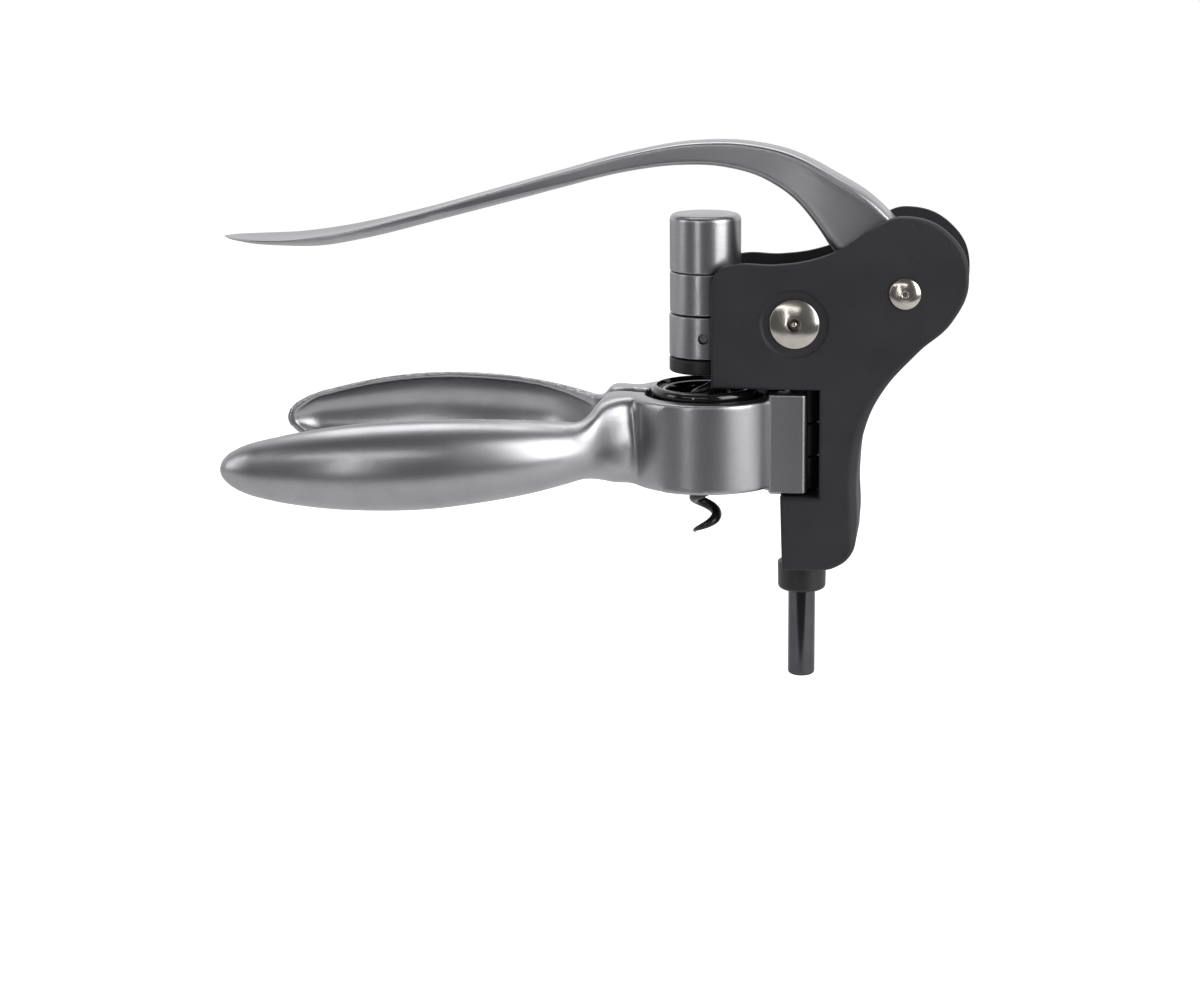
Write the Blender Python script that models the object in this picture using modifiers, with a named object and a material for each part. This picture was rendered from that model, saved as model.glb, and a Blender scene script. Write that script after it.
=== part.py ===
"""Lever corkscrew, modelled in metres with +Z up.

The origin is the centre of the bottle-mouth seat, on the worm's axis. +X runs towards the body and its
guide rod, -X towards the grips and the lever's tip, and the near half is on -Y. The object is shown with
the lever fully down, the worm at its lowest and the clamp arms gripping.
"""
import math

import bmesh
import bpy
from mathutils import Vector

MM = 0.001
GAP = 0.3 * MM                      # clearance between seated pieces
RUNNING = 0.15 * MM                 # radial clearance of a pin or shaft in its bore

# Body shells
BODY_WIDTH = 26.0 * MM
PLATE_THICKNESS = 2.8 * MM
BODY_FRONT_X = 2.7 * MM
HUMP_RADIUS = 20.4 * MM
FLOOR_THICKNESS = 3.0 * MM
FLOOR_FRONT_X = 12.5 * MM
COLUMN_FRONT_X = 21.5 * MM
COLUMN_FOOT_Z = -42.3 * MM

# Stack of turned parts on the worm's axis
STACK_RADIUS = 9.7 * MM
CHUCK_RADIUS = 9.85 * MM
CHUCK_LOW_Z = 14.8 * MM
CHUCK_HEIGHT = 11.5 * MM
HOUSING_HEIGHT = 11.2 * MM
CAP_HEIGHT = 15.5 * MM
SEAM = 0.4 * MM
SPINDLE_RADIUS = 3.0 * MM
SPINDLE_HEAD_RADIUS = 5.0 * MM
SPINDLE_HEAD_HEIGHT = 2.6 * MM
WASHER_THICKNESS = 1.1 * MM
WASHER_RADIUS = 6.0 * MM
SET_SCREW_RADIUS = 1.15 * MM
SET_SCREW_ANGLE = math.radians(-88.0)

# Worm and its fixed nut
WORM_PITCH = 9.5 * MM
WORM_WIRE_RADIUS = 1.4 * MM
WORM_RADIUS = 3.1 * MM
WORM_TIP_Z = -35.5 * MM
NUT_LOW_Z = 10.5 * MM
NUT_HEIGHT = 4.0 * MM
NUT_BORE_RADIUS = 5.0 * MM
LUG_HALF_WIDTH = 1.2 * MM

# Mouth guide
GUIDE_BORE_RADIUS = 10.5 * MM
GUIDE_TO_COLLAR = 1.9 * MM          # radial clearance of the mouth guide in the closed collar
GUIDE_HEIGHT = 5.8 * MM
TAIL_HALF_WIDTH = 3.0 * MM

# Guide rod and its bush
ROD_X = 26.8 * MM
ROD_RADIUS = 3.75 * MM
ROD_LOW_Z = -74.9 * MM
BUSH_RADIUS = 6.7 * MM
BUSH_FLANGE = 7.7 * MM
BUSH_SLEEVE_WALL = 0.65 * MM
BUSH_SLEEVE_LENGTH = 10.0 * MM

# Lever, its gear and the rack
AXLE_X = 54.6 * MM
AXLE_Z = 34.3 * MM
AXLE_RADIUS = 3.0 * MM
AXLE_CAP_RADIUS = 4.35 * MM
HUB_RADIUS = 11.5 * MM
HUB_HALF_WIDTH = 7.0 * MM
GEAR_MODULE = 1.0 * MM
GEAR_TEETH_PER_TURN = 27
GEAR_HALF_WIDTH = 3.0 * MM
PRESSURE_ANGLE = math.radians(20.0)
ADDENDUM = 0.7 * MM
DEDENDUM = 1.2 * MM
BACKLASH = 0.3 * MM
LEVER_SWING = math.radians(155.0)
RACK_HALF_WIDTH = 3.4 * MM
RACK_BAR_DEPTH = 4.0 * MM
RACK_OVER_CROSSHEAD = 0.9 * MM
GEAR_PIN_RADIUS = 1.5 * MM
GEAR_PIN_CIRCLE = 8.0 * MM

# Crosshead that joins the stack to the rod and the rack
CROSSHEAD_HALF_WIDTH = 4.5 * MM
CROSSHEAD_OVER_CHUCK = 3.4 * MM     # from the chuck's top to the crosshead's underside
CROSSHEAD_HEIGHT = 8.0 * MM
CROSSHEAD_FRONT_X = 6.9 * MM

# Front guide screws and the blocks they hold
SCREW_X = 25.2 * MM
SCREW_Z = 25.6 * MM
SCREW_HEAD_RADIUS = 6.8 * MM
SCREW_SHANK_RADIUS = 2.2 * MM
RECESS_RADIUS = 9.1 * MM
RECESS_DEPTH = 0.6 * MM
BLOCK_HALF_LENGTH = 5.0 * MM
BLOCK_LOW_Z = 11.0 * MM

# Clamp arms
COLLAR_RADIUS = 21.5 * MM
COLLAR_BORE = 16.8 * MM
COLLAR_TOP_Z = 4.5 * MM
COLLAR_HEIGHT = 24.5 * MM
FRONT_GAP = 5.0 * MM
BOSS_FRONT_X = -25.3 * MM
BOSS_OUTER_Y = 11.5 * MM
BOSS_CHAMFER = 2.2 * MM
LINER_WALL = 1.9 * MM
CHEEK_FRONT_X = 18.2 * MM
CHEEK_BACK_X = 28.6 * MM
CHEEK_TOP_Z = 6.1 * MM
CHEEK_HEIGHT = 27.7 * MM
CHEEK_OUTER_Y = 11.0 * MM
CHEEK_CHAMFER = 1.6 * MM
KNUCKLE_RADIUS = 4.9 * MM
GRIP_WALL = 1.8 * MM
GRIP_HOLLOW_START = 0.24

# Sizes that follow from the ones above
HALF_BODY = BODY_WIDTH / 2
GUIDE_OUTER_RADIUS = COLLAR_BORE - GUIDE_TO_COLLAR
PLATE_INNER = HALF_BODY - PLATE_THICKNESS
CHUCK_TOP_Z = CHUCK_LOW_Z + CHUCK_HEIGHT
HOUSING_LOW_Z = CHUCK_TOP_Z + SEAM
HOUSING_TOP_Z = HOUSING_LOW_Z + HOUSING_HEIGHT
CAP_LOW_Z = HOUSING_TOP_Z + SEAM / 2
CAP_TOP_Z = CAP_LOW_Z + CAP_HEIGHT
PITCH_RADIUS = GEAR_MODULE * GEAR_TEETH_PER_TURN / 2
RACK_PITCH_X = AXLE_X - PITCH_RADIUS
STROKE = PITCH_RADIUS * LEVER_SWING
KNUCKLE_BORE = ROD_RADIUS + 0.2 * MM
CHEEK_LOW_Z = CHEEK_TOP_Z - CHEEK_HEIGHT
NOTCH_TOP_Z = CHEEK_TOP_Z + 1.5 * MM
NOTCH_FOOT_Z = CHEEK_LOW_Z - 0.4 * MM
NOTCH_WALL_X = ROD_X + KNUCKLE_RADIUS + GAP
FLOOR_TOP_Z = NOTCH_TOP_Z + FLOOR_THICKNESS
COLLAR_LOW_Z = COLLAR_TOP_Z - COLLAR_HEIGHT
CROSSHEAD_LOW_Z = CHUCK_TOP_Z + CROSSHEAD_OVER_CHUCK
CROSSHEAD_TOP_Z = CROSSHEAD_LOW_Z + CROSSHEAD_HEIGHT
BLOCK_HIGH_Z = CROSSHEAD_LOW_Z - GAP
RACK_TOP_Z = CROSSHEAD_TOP_Z + RACK_OVER_CROSSHEAD
RACK_ROOT_X = RACK_PITCH_X - DEDENDUM
RACK_BACK_X = RACK_ROOT_X - RACK_BAR_DEPTH
RACK_LOW_Z = AXLE_Z - STROKE - 4.5 * MM
TAIL_BACK_X = ROD_X - KNUCKLE_RADIUS - 1.7 * MM


def clear_scene():
    """Remove every object that the scene starts with."""
    for item in list(bpy.data.objects):
        bpy.data.objects.remove(item, do_unlink=True)


def new_collection(name):
    """Return a new collection linked to the scene."""
    collection = bpy.data.collections.new(name)
    bpy.context.scene.collection.children.link(collection)
    return collection


def finish(name, color, roughness, metallic):
    """Return a Principled material."""
    material = bpy.data.materials.new(name)
    material.use_nodes = True
    shader = material.node_tree.nodes["Principled BSDF"]
    shader.inputs["Base Color"].default_value = (*color, 1.0)
    shader.inputs["Roughness"].default_value = roughness
    shader.inputs["Metallic"].default_value = metallic
    return material


clear_scene()
PARTS = new_collection("lever_corkscrew")
CUTTERS = new_collection("cutters")


def new_object(name, mesh, material=None):
    """Link a mesh as a part, or as a hidden cutter when it has no material."""
    item = bpy.data.objects.new(name, mesh)
    if material is None:
        CUTTERS.objects.link(item)
        item.hide_render = True
        item.display_type = "WIRE"
    else:
        PARTS.objects.link(item)
        mesh.materials.append(material)
        mesh.shade_smooth()
        mesh.set_sharp_from_angle(angle=math.radians(35.0))
    return item


def object_from_bmesh(name, shape, material=None):
    """Turn a bmesh into an object and free the bmesh."""
    bmesh.ops.recalc_face_normals(shape, faces=shape.faces)
    mesh = bpy.data.meshes.new(name)
    shape.to_mesh(mesh)
    shape.free()
    return new_object(name, mesh, material)


def box(name, low, high, material=None):
    """Return a box between two corners."""
    shape = bmesh.new()
    bmesh.ops.create_cube(shape, size=1.0)
    low = Vector(low)
    high = Vector(high)
    bmesh.ops.scale(shape, vec=high - low, verts=shape.verts)
    bmesh.ops.translate(shape, vec=(low + high) / 2, verts=shape.verts)
    return object_from_bmesh(name, shape, material)


def side_box(name, side, x_span, y_span, z_span, material=None):
    """Return a box whose distances from the mid-plane lie on one side of it."""
    ys = sorted(side * y for y in y_span)
    return box(name, (x_span[0], ys[0], z_span[0]), (x_span[1], ys[1], z_span[1]), material)


def cylinder(name, radius, low, high, material=None, segments=28):
    """Return a cylinder between two points on an axis along X, Y or Z, or at any angle."""
    low = Vector(low)
    high = Vector(high)
    shape = bmesh.new()
    bmesh.ops.create_cone(shape, cap_ends=True, segments=segments, radius1=radius, radius2=radius,
                          depth=(high - low).length)
    turn = Vector((0, 0, 1)).rotation_difference((high - low).normalized()).to_matrix()
    bmesh.ops.rotate(shape, matrix=turn, verts=shape.verts)
    bmesh.ops.translate(shape, vec=(low + high) / 2, verts=shape.verts)
    return object_from_bmesh(name, shape, material)


def turned(name, profile, material=None, closed=False, steps=36):
    """Return a part turned about its own Z from (radius, height) points, down the outer side."""
    mesh = bpy.data.meshes.new(name)
    edges = [(index, index + 1) for index in range(len(profile) - 1)]
    if closed:
        edges.append((len(profile) - 1, 0))
    mesh.from_pydata([(radius, 0.0, height) for radius, height in profile], edges, [])
    item = new_object(name, mesh, material)
    screw = item.modifiers.new("turn", "SCREW")
    screw.steps = steps
    screw.render_steps = steps
    screw.use_merge_vertices = True
    screw.merge_threshold = 0.00001
    return item


def ring(name, inner, outer, low, high, material=None, edge=0.0, steps=36):
    """Return a turned ring with its outer edges chamfered by edge."""
    profile = [(outer - edge, high), (outer, high - edge), (outer, low + edge), (outer - edge, low),
               (inner, low), (inner, high)]
    if not edge:
        profile = [(outer, high), (outer, low), (inner, low), (inner, high)]
    return turned(name, profile, material, closed=True, steps=steps)


def outline_solid(name, points, low_y, high_y, material=None, resolution=4):
    """Return a flat outline in the XZ plane, filled and extruded between two Y values.

    Each point is (x, z, smooth). A smooth point lies on a curve and any other is a corner.
    """
    curve = bpy.data.curves.new(name, "CURVE")
    curve.dimensions = "2D"
    curve.fill_mode = "BOTH"
    curve.extrude = (high_y - low_y) / 2
    curve.resolution_u = resolution
    spline = curve.splines.new("BEZIER")
    spline.bezier_points.add(len(points) - 1)
    spline.use_cyclic_u = True
    for knot, (x, z, _) in zip(spline.bezier_points, points):
        knot.co = (x, z, 0.0)
    for knot, (_, _, smooth) in zip(spline.bezier_points, points):
        kind = "AUTO" if smooth else "VECTOR"
        knot.handle_left_type = kind
        knot.handle_right_type = kind
    guide = bpy.data.objects.new(name + "_guide", curve)
    CUTTERS.objects.link(guide)
    mesh = bpy.data.meshes.new_from_object(guide.evaluated_get(bpy.context.evaluated_depsgraph_get()))
    bpy.data.objects.remove(guide, do_unlink=True)
    shape = bmesh.new()
    shape.from_mesh(mesh)
    bpy.data.meshes.remove(mesh)
    for vert in shape.verts:
        vert.co = Vector((vert.co.x, (low_y + high_y) / 2 - vert.co.z, vert.co.y))
    bmesh.ops.remove_doubles(shape, verts=shape.verts, dist=0.000002)
    return object_from_bmesh(name, shape, material)


def boolean(item, operation, other):
    """Add a Boolean with another object to a part."""
    modifier = item.modifiers.new(other.name, "BOOLEAN")
    modifier.operation = operation
    modifier.solver = "EXACT"
    modifier.object = other
    return item


def loft(name, sections, material=None):
    """Return a closed solid through rings of equal length."""
    shape = bmesh.new()
    rows = [[shape.verts.new(point) for point in section] for section in sections]
    count = len(rows[0])
    for first, second in zip(rows, rows[1:]):
        for index in range(count):
            following = (index + 1) % count
            shape.faces.new((first[index], first[following], second[following], second[index]))
    shape.faces.new(list(reversed(rows[0])))
    shape.faces.new(rows[-1])
    return object_from_bmesh(name, shape, material)


NICKEL = finish("satin_nickel", (0.50, 0.50, 0.51), 0.34, 1.0)
CHROME = finish("bright_nickel", (0.62, 0.60, 0.58), 0.14, 1.0)
STEEL = finish("steel", (0.42, 0.42, 0.43), 0.28, 1.0)
BLACK = finish("black_plastic", (0.030, 0.030, 0.034), 0.55, 0.0)
GLOSS = finish("gloss_black", (0.012, 0.012, 0.013), 0.15, 0.0)
COATING = finish("worm_coating", (0.05, 0.05, 0.055), 0.35, 0.0)
RUBBER = finish("liner_rubber", (0.02, 0.02, 0.02), 0.80, 0.0)

SIDES = {"near": -1, "far": 1}


def body_outline():
    """Return the shell's outline: front corner, top, hump, back, foot and notch."""
    hump = HUMP_RADIUS
    return [
        (BODY_FRONT_X, NOTCH_TOP_Z, False),
        (BODY_FRONT_X, 36.2 * MM, False),
        (4.6 * MM, 39.6 * MM, True),
        (9.0 * MM, 41.2 * MM, True),
        (20.0 * MM, 41.3 * MM, True),
        (30.4 * MM, 43.0 * MM, True),
        (38.4 * MM, 46.4 * MM, True),
        (46.0 * MM, 51.7 * MM, True),
        (AXLE_X - 0.5 * MM, AXLE_Z + hump, True),
        (AXLE_X + 0.60 * hump, AXLE_Z + 0.74 * hump, True),
        (AXLE_X + 0.82 * hump, AXLE_Z + 4.0 * MM, True),
        (AXLE_X + 0.62 * hump, AXLE_Z - 0.36 * hump, True),
        (AXLE_X + 0.17 * hump, AXLE_Z - 0.79 * hump, True),
        (48.2 * MM, 6.3 * MM, True),
        (43.8 * MM, -4.5 * MM, True),
        (42.2 * MM, -17.0 * MM, True),
        (42.3 * MM, -31.0 * MM, True),
        (41.0 * MM, -37.5 * MM, True),
        (36.3 * MM, COLUMN_FOOT_Z + 0.9 * MM, True),
        (32.0 * MM, COLUMN_FOOT_Z, False),
        (COLUMN_FRONT_X + 0.6 * MM, COLUMN_FOOT_Z, False),
        (COLUMN_FRONT_X, NOTCH_FOOT_Z, False),
        (NOTCH_WALL_X, NOTCH_FOOT_Z, False),
        (NOTCH_WALL_X, NOTCH_TOP_Z, False),
    ]


def body_shell(name, side):
    """Return one body shell: a plate with a floor, a back rim and half the column."""
    ys = sorted((side * HALF_BODY, side * GAP / 2))
    shell = outline_solid(name, body_outline(), ys[0], ys[1], BLACK)
    reach = 2 * AXLE_X
    cavity = [
        (-BODY_WIDTH, FLOOR_TOP_Z, False),
        (AXLE_X - 5.5 * MM, FLOOR_TOP_Z, False),
        (AXLE_X - 2.5 * MM, FLOOR_TOP_Z + 3.0 * MM, False),
        (reach, FLOOR_TOP_Z + 3.0 * MM, False),
        (reach, reach, False),
        (-BODY_WIDTH, reach, False),
    ]
    boolean(shell, "DIFFERENCE", outline_solid(name + "_cavity", cavity, -PLATE_INNER, PLATE_INNER))
    boolean(shell, "DIFFERENCE", box(name + "_stack_cut", (-BODY_WIDTH, -PLATE_INNER, 0.0),
                                     (FLOOR_FRONT_X, PLATE_INNER, FLOOR_TOP_Z + MM)))
    channel_y = RACK_HALF_WIDTH + GAP
    boolean(shell, "DIFFERENCE", box(name + "_rack_cut",
                                     (RACK_BACK_X - GAP, -channel_y, RACK_LOW_Z - GAP),
                                     (RACK_PITCH_X + ADDENDUM + GAP, channel_y, FLOOR_TOP_Z + MM)))
    boolean(shell, "DIFFERENCE", cylinder(name + "_rod_cut", ROD_RADIUS + RUNNING + 0.1 * MM,
                                          (ROD_X, 0, COLUMN_FOOT_Z - MM), (ROD_X, 0, FLOOR_TOP_Z + MM)))
    sleeve_radius = ROD_RADIUS + RUNNING + BUSH_SLEEVE_WALL + RUNNING
    boolean(shell, "DIFFERENCE", cylinder(name + "_bush_cut", sleeve_radius,
                                          (ROD_X, 0, COLUMN_FOOT_Z - MM),
                                          (ROD_X, 0, COLUMN_FOOT_Z + BUSH_SLEEVE_LENGTH + GAP)))
    boolean(shell, "DIFFERENCE", cylinder(name + "_axle_cut", AXLE_RADIUS + RUNNING,
                                          (AXLE_X, -BODY_WIDTH, AXLE_Z), (AXLE_X, BODY_WIDTH, AXLE_Z)))
    boolean(shell, "DIFFERENCE", cylinder(name + "_screw_cut", SCREW_SHANK_RADIUS + RUNNING,
                                          (SCREW_X, -BODY_WIDTH, SCREW_Z), (SCREW_X, BODY_WIDTH, SCREW_Z)))
    recess = cylinder(name + "_recess", RECESS_RADIUS,
                      (SCREW_X, side * (HALF_BODY - RECESS_DEPTH), SCREW_Z),
                      (SCREW_X, side * (HALF_BODY + MM), SCREW_Z))
    boolean(shell, "DIFFERENCE", recess)
    return shell


def column_bush():
    """Return the flanged bush that guides the rod at the column's foot."""
    bore = ROD_RADIUS + RUNNING
    sleeve = bore + BUSH_SLEEVE_WALL
    top = COLUMN_FOOT_Z + BUSH_SLEEVE_LENGTH
    seat = COLUMN_FOOT_Z - GAP
    foot = seat - BUSH_FLANGE
    edge = 1.2 * MM
    profile = [(sleeve, top), (sleeve, seat), (BUSH_RADIUS, seat), (BUSH_RADIUS, foot + edge),
               (BUSH_RADIUS - 0.4 * edge, foot + 0.3 * edge), (BUSH_RADIUS - edge, foot),
               (bore, foot), (bore, top)]
    item = turned("column_bush", profile, BLACK, closed=True, steps=28)
    item.location = (ROD_X, 0, 0)
    return item


def guide_screw(name, side):
    """Return a domed guide screw with a drilled centre, lying in its recess."""
    seat = HALF_BODY - RECESS_DEPTH + RUNNING
    dome = 1.4 * MM
    tip = PLATE_INNER - 4.4 * MM
    profile = [(0.0, seat + 0.6 * MM), (1.0 * MM, seat + 0.3 * MM), (1.9 * MM, seat + 0.3 * MM),
               (2.0 * MM, seat + dome), (3.6 * MM, seat + 0.95 * dome), (5.4 * MM, seat + 0.78 * dome),
               (SCREW_HEAD_RADIUS, seat + 0.35 * dome), (SCREW_HEAD_RADIUS, seat),
               (SCREW_SHANK_RADIUS, seat), (SCREW_SHANK_RADIUS, tip), (0.0, tip)]
    item = turned(name, profile, CHROME, steps=24)
    item.location = (SCREW_X, 0, SCREW_Z)
    item.rotation_euler = (-side * math.pi / 2, 0, 0)
    return item


def guide_block(name, side):
    """Return the block inside one plate that keeps the crosshead in the mid-plane."""
    block = side_box(name, side, (SCREW_X - BLOCK_HALF_LENGTH, SCREW_X + BLOCK_HALF_LENGTH),
                     (CROSSHEAD_HALF_WIDTH + GAP, PLATE_INNER - GAP), (BLOCK_LOW_Z, BLOCK_HIGH_Z), STEEL)
    hole = cylinder(name + "_hole", SCREW_SHANK_RADIUS + RUNNING,
                    (SCREW_X, -BODY_WIDTH, SCREW_Z), (SCREW_X, BODY_WIDTH, SCREW_Z))
    return boolean(block, "DIFFERENCE", hole)


def lever_axle():
    """Return the straight axle that the lever turns on."""
    reach = HALF_BODY - RUNNING
    return cylinder("lever_axle", AXLE_RADIUS, (AXLE_X, -reach, AXLE_Z), (AXLE_X, reach, AXLE_Z), STEEL)


def axle_cap(name, side):
    """Return a domed cap staked over one end of the axle."""
    seat = HALF_BODY + RUNNING
    dome = 1.2 * MM
    radius = AXLE_CAP_RADIUS
    profile = [(0.0, seat + dome - 0.25 * MM), (0.9 * MM, seat + dome), (0.5 * radius, seat + 0.92 * dome),
               (0.85 * radius, seat + 0.62 * dome), (radius, seat + 0.25 * dome), (radius, seat), (0.0, seat)]
    item = turned(name, profile, CHROME, steps=24)
    item.location = (AXLE_X, 0, AXLE_Z)
    item.rotation_euler = (-side * math.pi / 2, 0, 0)
    return item


def worm_nut():
    """Return the ring whose lug rides in the worm's helical gap, with a tail to its bracket."""
    top = NUT_LOW_Z + NUT_HEIGHT
    nut = ring("worm_nut", NUT_BORE_RADIUS, CHUCK_RADIUS, NUT_LOW_Z, top, BLACK, 0.4 * MM)
    lug_z = NUT_LOW_Z + NUT_HEIGHT / 2
    lug = box("worm_nut_lug", (WORM_RADIUS - LUG_HALF_WIDTH, -LUG_HALF_WIDTH, lug_z - LUG_HALF_WIDTH),
              (NUT_BORE_RADIUS + MM, LUG_HALF_WIDTH, lug_z + LUG_HALF_WIDTH))
    tail = box("worm_nut_tail", (CHUCK_RADIUS - 2 * MM, -TAIL_HALF_WIDTH, FLOOR_TOP_Z + GAP),
               (TAIL_BACK_X - 1.5 * MM, TAIL_HALF_WIDTH, top - 0.2 * MM))
    boolean(nut, "UNION", lug)
    return boolean(nut, "UNION", tail)


def nut_bracket():
    """Return the bridge between the plates that holds the nut's tail on the floor."""
    top = NUT_LOW_Z + NUT_HEIGHT
    bridge = box("nut_bracket", (FLOOR_FRONT_X + 1.5 * MM, -PLATE_INNER + GAP, FLOOR_TOP_Z + GAP),
                 (TAIL_BACK_X - MM, PLATE_INNER - GAP, top + 3.0 * MM), STEEL)
    slot = box("nut_bracket_slot", (0.0, -TAIL_HALF_WIDTH - GAP, 0.0),
               (AXLE_X, TAIL_HALF_WIDTH + GAP, top - 0.2 * MM + GAP))
    return boolean(bridge, "DIFFERENCE", slot)


def mouth_guide():
    """Return the ring that seats on the bottle's mouth, with a tail fixed under the floor."""
    outer = GUIDE_OUTER_RADIUS
    inner = GUIDE_BORE_RADIUS
    lip = min(1.4 * MM, (outer - inner) / 3)
    high = GUIDE_HEIGHT
    profile = [(outer - lip, high), (outer - 0.4 * lip, high - 0.25 * lip), (outer, high - lip), (outer, 0.0),
               (inner, 0.0), (inner, high - 2 * lip), (inner + 0.5 * lip, high - 0.4 * lip),
               (inner + 1.2 * lip, high)]
    guide = turned("mouth_guide", profile, GLOSS, closed=True, steps=40)
    tail = box("mouth_guide_tail", (outer - 1.5 * MM, -TAIL_HALF_WIDTH, 0.5 * MM),
               (TAIL_BACK_X, TAIL_HALF_WIDTH, NOTCH_TOP_Z - GAP))
    return boolean(guide, "UNION", tail)


def tooth_flank(radius):
    """Return half the angle that a gear tooth spans at a radius, for an involute flank."""
    base = PITCH_RADIUS * math.cos(PRESSURE_ANGLE)
    half_pitch = (math.pi * GEAR_MODULE / 2 - BACKLASH) / 2 / PITCH_RADIUS
    pitch_roll = math.tan(PRESSURE_ANGLE) - PRESSURE_ANGLE
    if radius <= base:
        return half_pitch + pitch_roll
    angle = math.acos(base / radius)
    return half_pitch + pitch_roll - (math.tan(angle) - angle)


def lever_gear():
    """Return the toothed sector fixed in the lever's hub, in mesh with the rack at rest."""
    pitch = 2 * math.pi / GEAR_TEETH_PER_TURN
    tooth_count = math.ceil(LEVER_SWING / pitch) + 2
    root = PITCH_RADIUS - DEDENDUM
    tip = PITCH_RADIUS + ADDENDUM
    outline = []
    for index in range(-1, tooth_count - 1):
        centre = math.pi + index * pitch
        flank = [(root, -1), (PITCH_RADIUS, -1), (tip, -1), (tip, 1), (PITCH_RADIUS, 1), (root, 1)]
        for radius, sense in flank:
            outline.append((radius, centre + sense * tooth_flank(radius)))
    end = outline[-1][1]
    start = outline[0][1] + 2 * math.pi
    plain = HUB_RADIUS - 0.5 * MM
    steps = 16
    for step in range(steps + 1):
        outline.append((plain, end + (start - end) * (step + 0.5) / (steps + 1)))
    points = [(AXLE_X + radius * math.cos(angle), AXLE_Z + radius * math.sin(angle), False)
              for radius, angle in outline]
    gear = outline_solid("lever_gear", points, -GEAR_HALF_WIDTH, GEAR_HALF_WIDTH, STEEL, resolution=1)
    boolean(gear, "DIFFERENCE", axle_hole("lever_gear_bore"))
    for index, place in enumerate(gear_pin_places()):
        boolean(gear, "DIFFERENCE", gear_pin_hole("lever_gear_pin_hole_%d" % index, place))
    return gear


def axle_hole(name):
    """Return a cutter for the lever's axle."""
    return cylinder(name, AXLE_RADIUS + RUNNING, (AXLE_X, -BODY_WIDTH, AXLE_Z), (AXLE_X, BODY_WIDTH, AXLE_Z))


def gear_pin_places():
    """Return the (x, z) centres of the pins that fix the gear in the hub."""
    angles = (math.radians(115.0), math.radians(295.0))
    return [(AXLE_X + GEAR_PIN_CIRCLE * math.cos(angle), AXLE_Z + GEAR_PIN_CIRCLE * math.sin(angle))
            for angle in angles]


def gear_pin_hole(name, place):
    """Return a cutter for one gear pin."""
    x, z = place
    return cylinder(name, GEAR_PIN_RADIUS + RUNNING, (x, -BODY_WIDTH, z), (x, BODY_WIDTH, z), segments=24)


def lever_arm():
    """Return the arched arm: its side outline crossed with its plan, joined to a slotted hub."""
    side_view = [
        (-133.5, 45.6, True), (-126.0, 45.7, True), (-116.0, 46.0, True), (-102.0, 47.9, True),
        (-80.5, 52.9, True), (-58.0, 59.3, True), (-40.0, 64.4, True), (-21.8, 69.4, True),
        (-3.0, 72.8, True), (12.0, 72.8, True), (24.0, 70.0, True), (35.0, 64.2, True),
        (46.0, 57.0, True), (54.5, 49.0, True), (60.0, 43.0, False), (56.0, 36.0, False),
        (45.0, 36.8, False), (43.4, 41.0, False), (40.6, 42.0, True), (37.4, 44.8, True),
        (32.8, 50.6, True), (25.6, 58.4, True), (17.0, 63.2, True), (5.7, 66.2, True),
        (-7.0, 66.6, True), (-20.6, 64.8, True), (-39.3, 60.0, True), (-50.0, 57.0, True),
        (-72.0, 51.0, True), (-93.8, 45.4, True), (-105.0, 43.4, True), (-116.0, 43.2, True),
        (-127.0, 43.9, True),
    ]
    plan = [(-133.5, 0.6), (-131.5, 3.6), (-126.0, 7.2), (-116.0, 10.0), (-103.0, 11.2), (-90.0, 10.7),
            (-76.0, 9.0), (-60.0, 6.9), (-42.0, 5.5), (-20.0, 4.9), (2.0, 4.8), (20.0, 5.4),
            (34.0, 6.4), (45.0, 7.0), (70.0, 7.0)]
    arm = outline_solid("lever_arm", [(x * MM, z * MM, smooth) for x, z, smooth in side_view],
                        -BODY_WIDTH, BODY_WIDTH, NICKEL)
    upper = 90 * MM
    sections = [[(x * MM, y * MM, 0.0), (x * MM, -y * MM, 0.0), (x * MM, -y * MM, upper), (x * MM, y * MM, upper)]
                for x, y in plan]
    boolean(arm, "INTERSECT", loft("lever_plan", sections))
    boolean(arm, "UNION", cylinder("lever_hub", HUB_RADIUS, (AXLE_X, -HUB_HALF_WIDTH + GAP / 3, AXLE_Z),
                                   (AXLE_X, HUB_HALF_WIDTH - GAP / 3, AXLE_Z), segments=40))
    slot_y = GEAR_HALF_WIDTH + GAP
    boolean(arm, "DIFFERENCE", cylinder("lever_slot", PITCH_RADIUS + ADDENDUM + GAP,
                                        (AXLE_X, -slot_y, AXLE_Z), (AXLE_X, slot_y, AXLE_Z), segments=48))
    boolean(arm, "DIFFERENCE", axle_hole("lever_arm_bore"))
    for index, place in enumerate(gear_pin_places()):
        boolean(arm, "DIFFERENCE", gear_pin_hole("lever_arm_pin_hole_%d" % index, place))
    return arm


def gear_pin(name, place):
    """Return a pin through the hub's cheeks and the gear."""
    x, z = place
    reach = HUB_HALF_WIDTH - GAP
    return cylinder(name, GEAR_PIN_RADIUS, (x, -reach, z), (x, reach, z), STEEL, segments=24)


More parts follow.
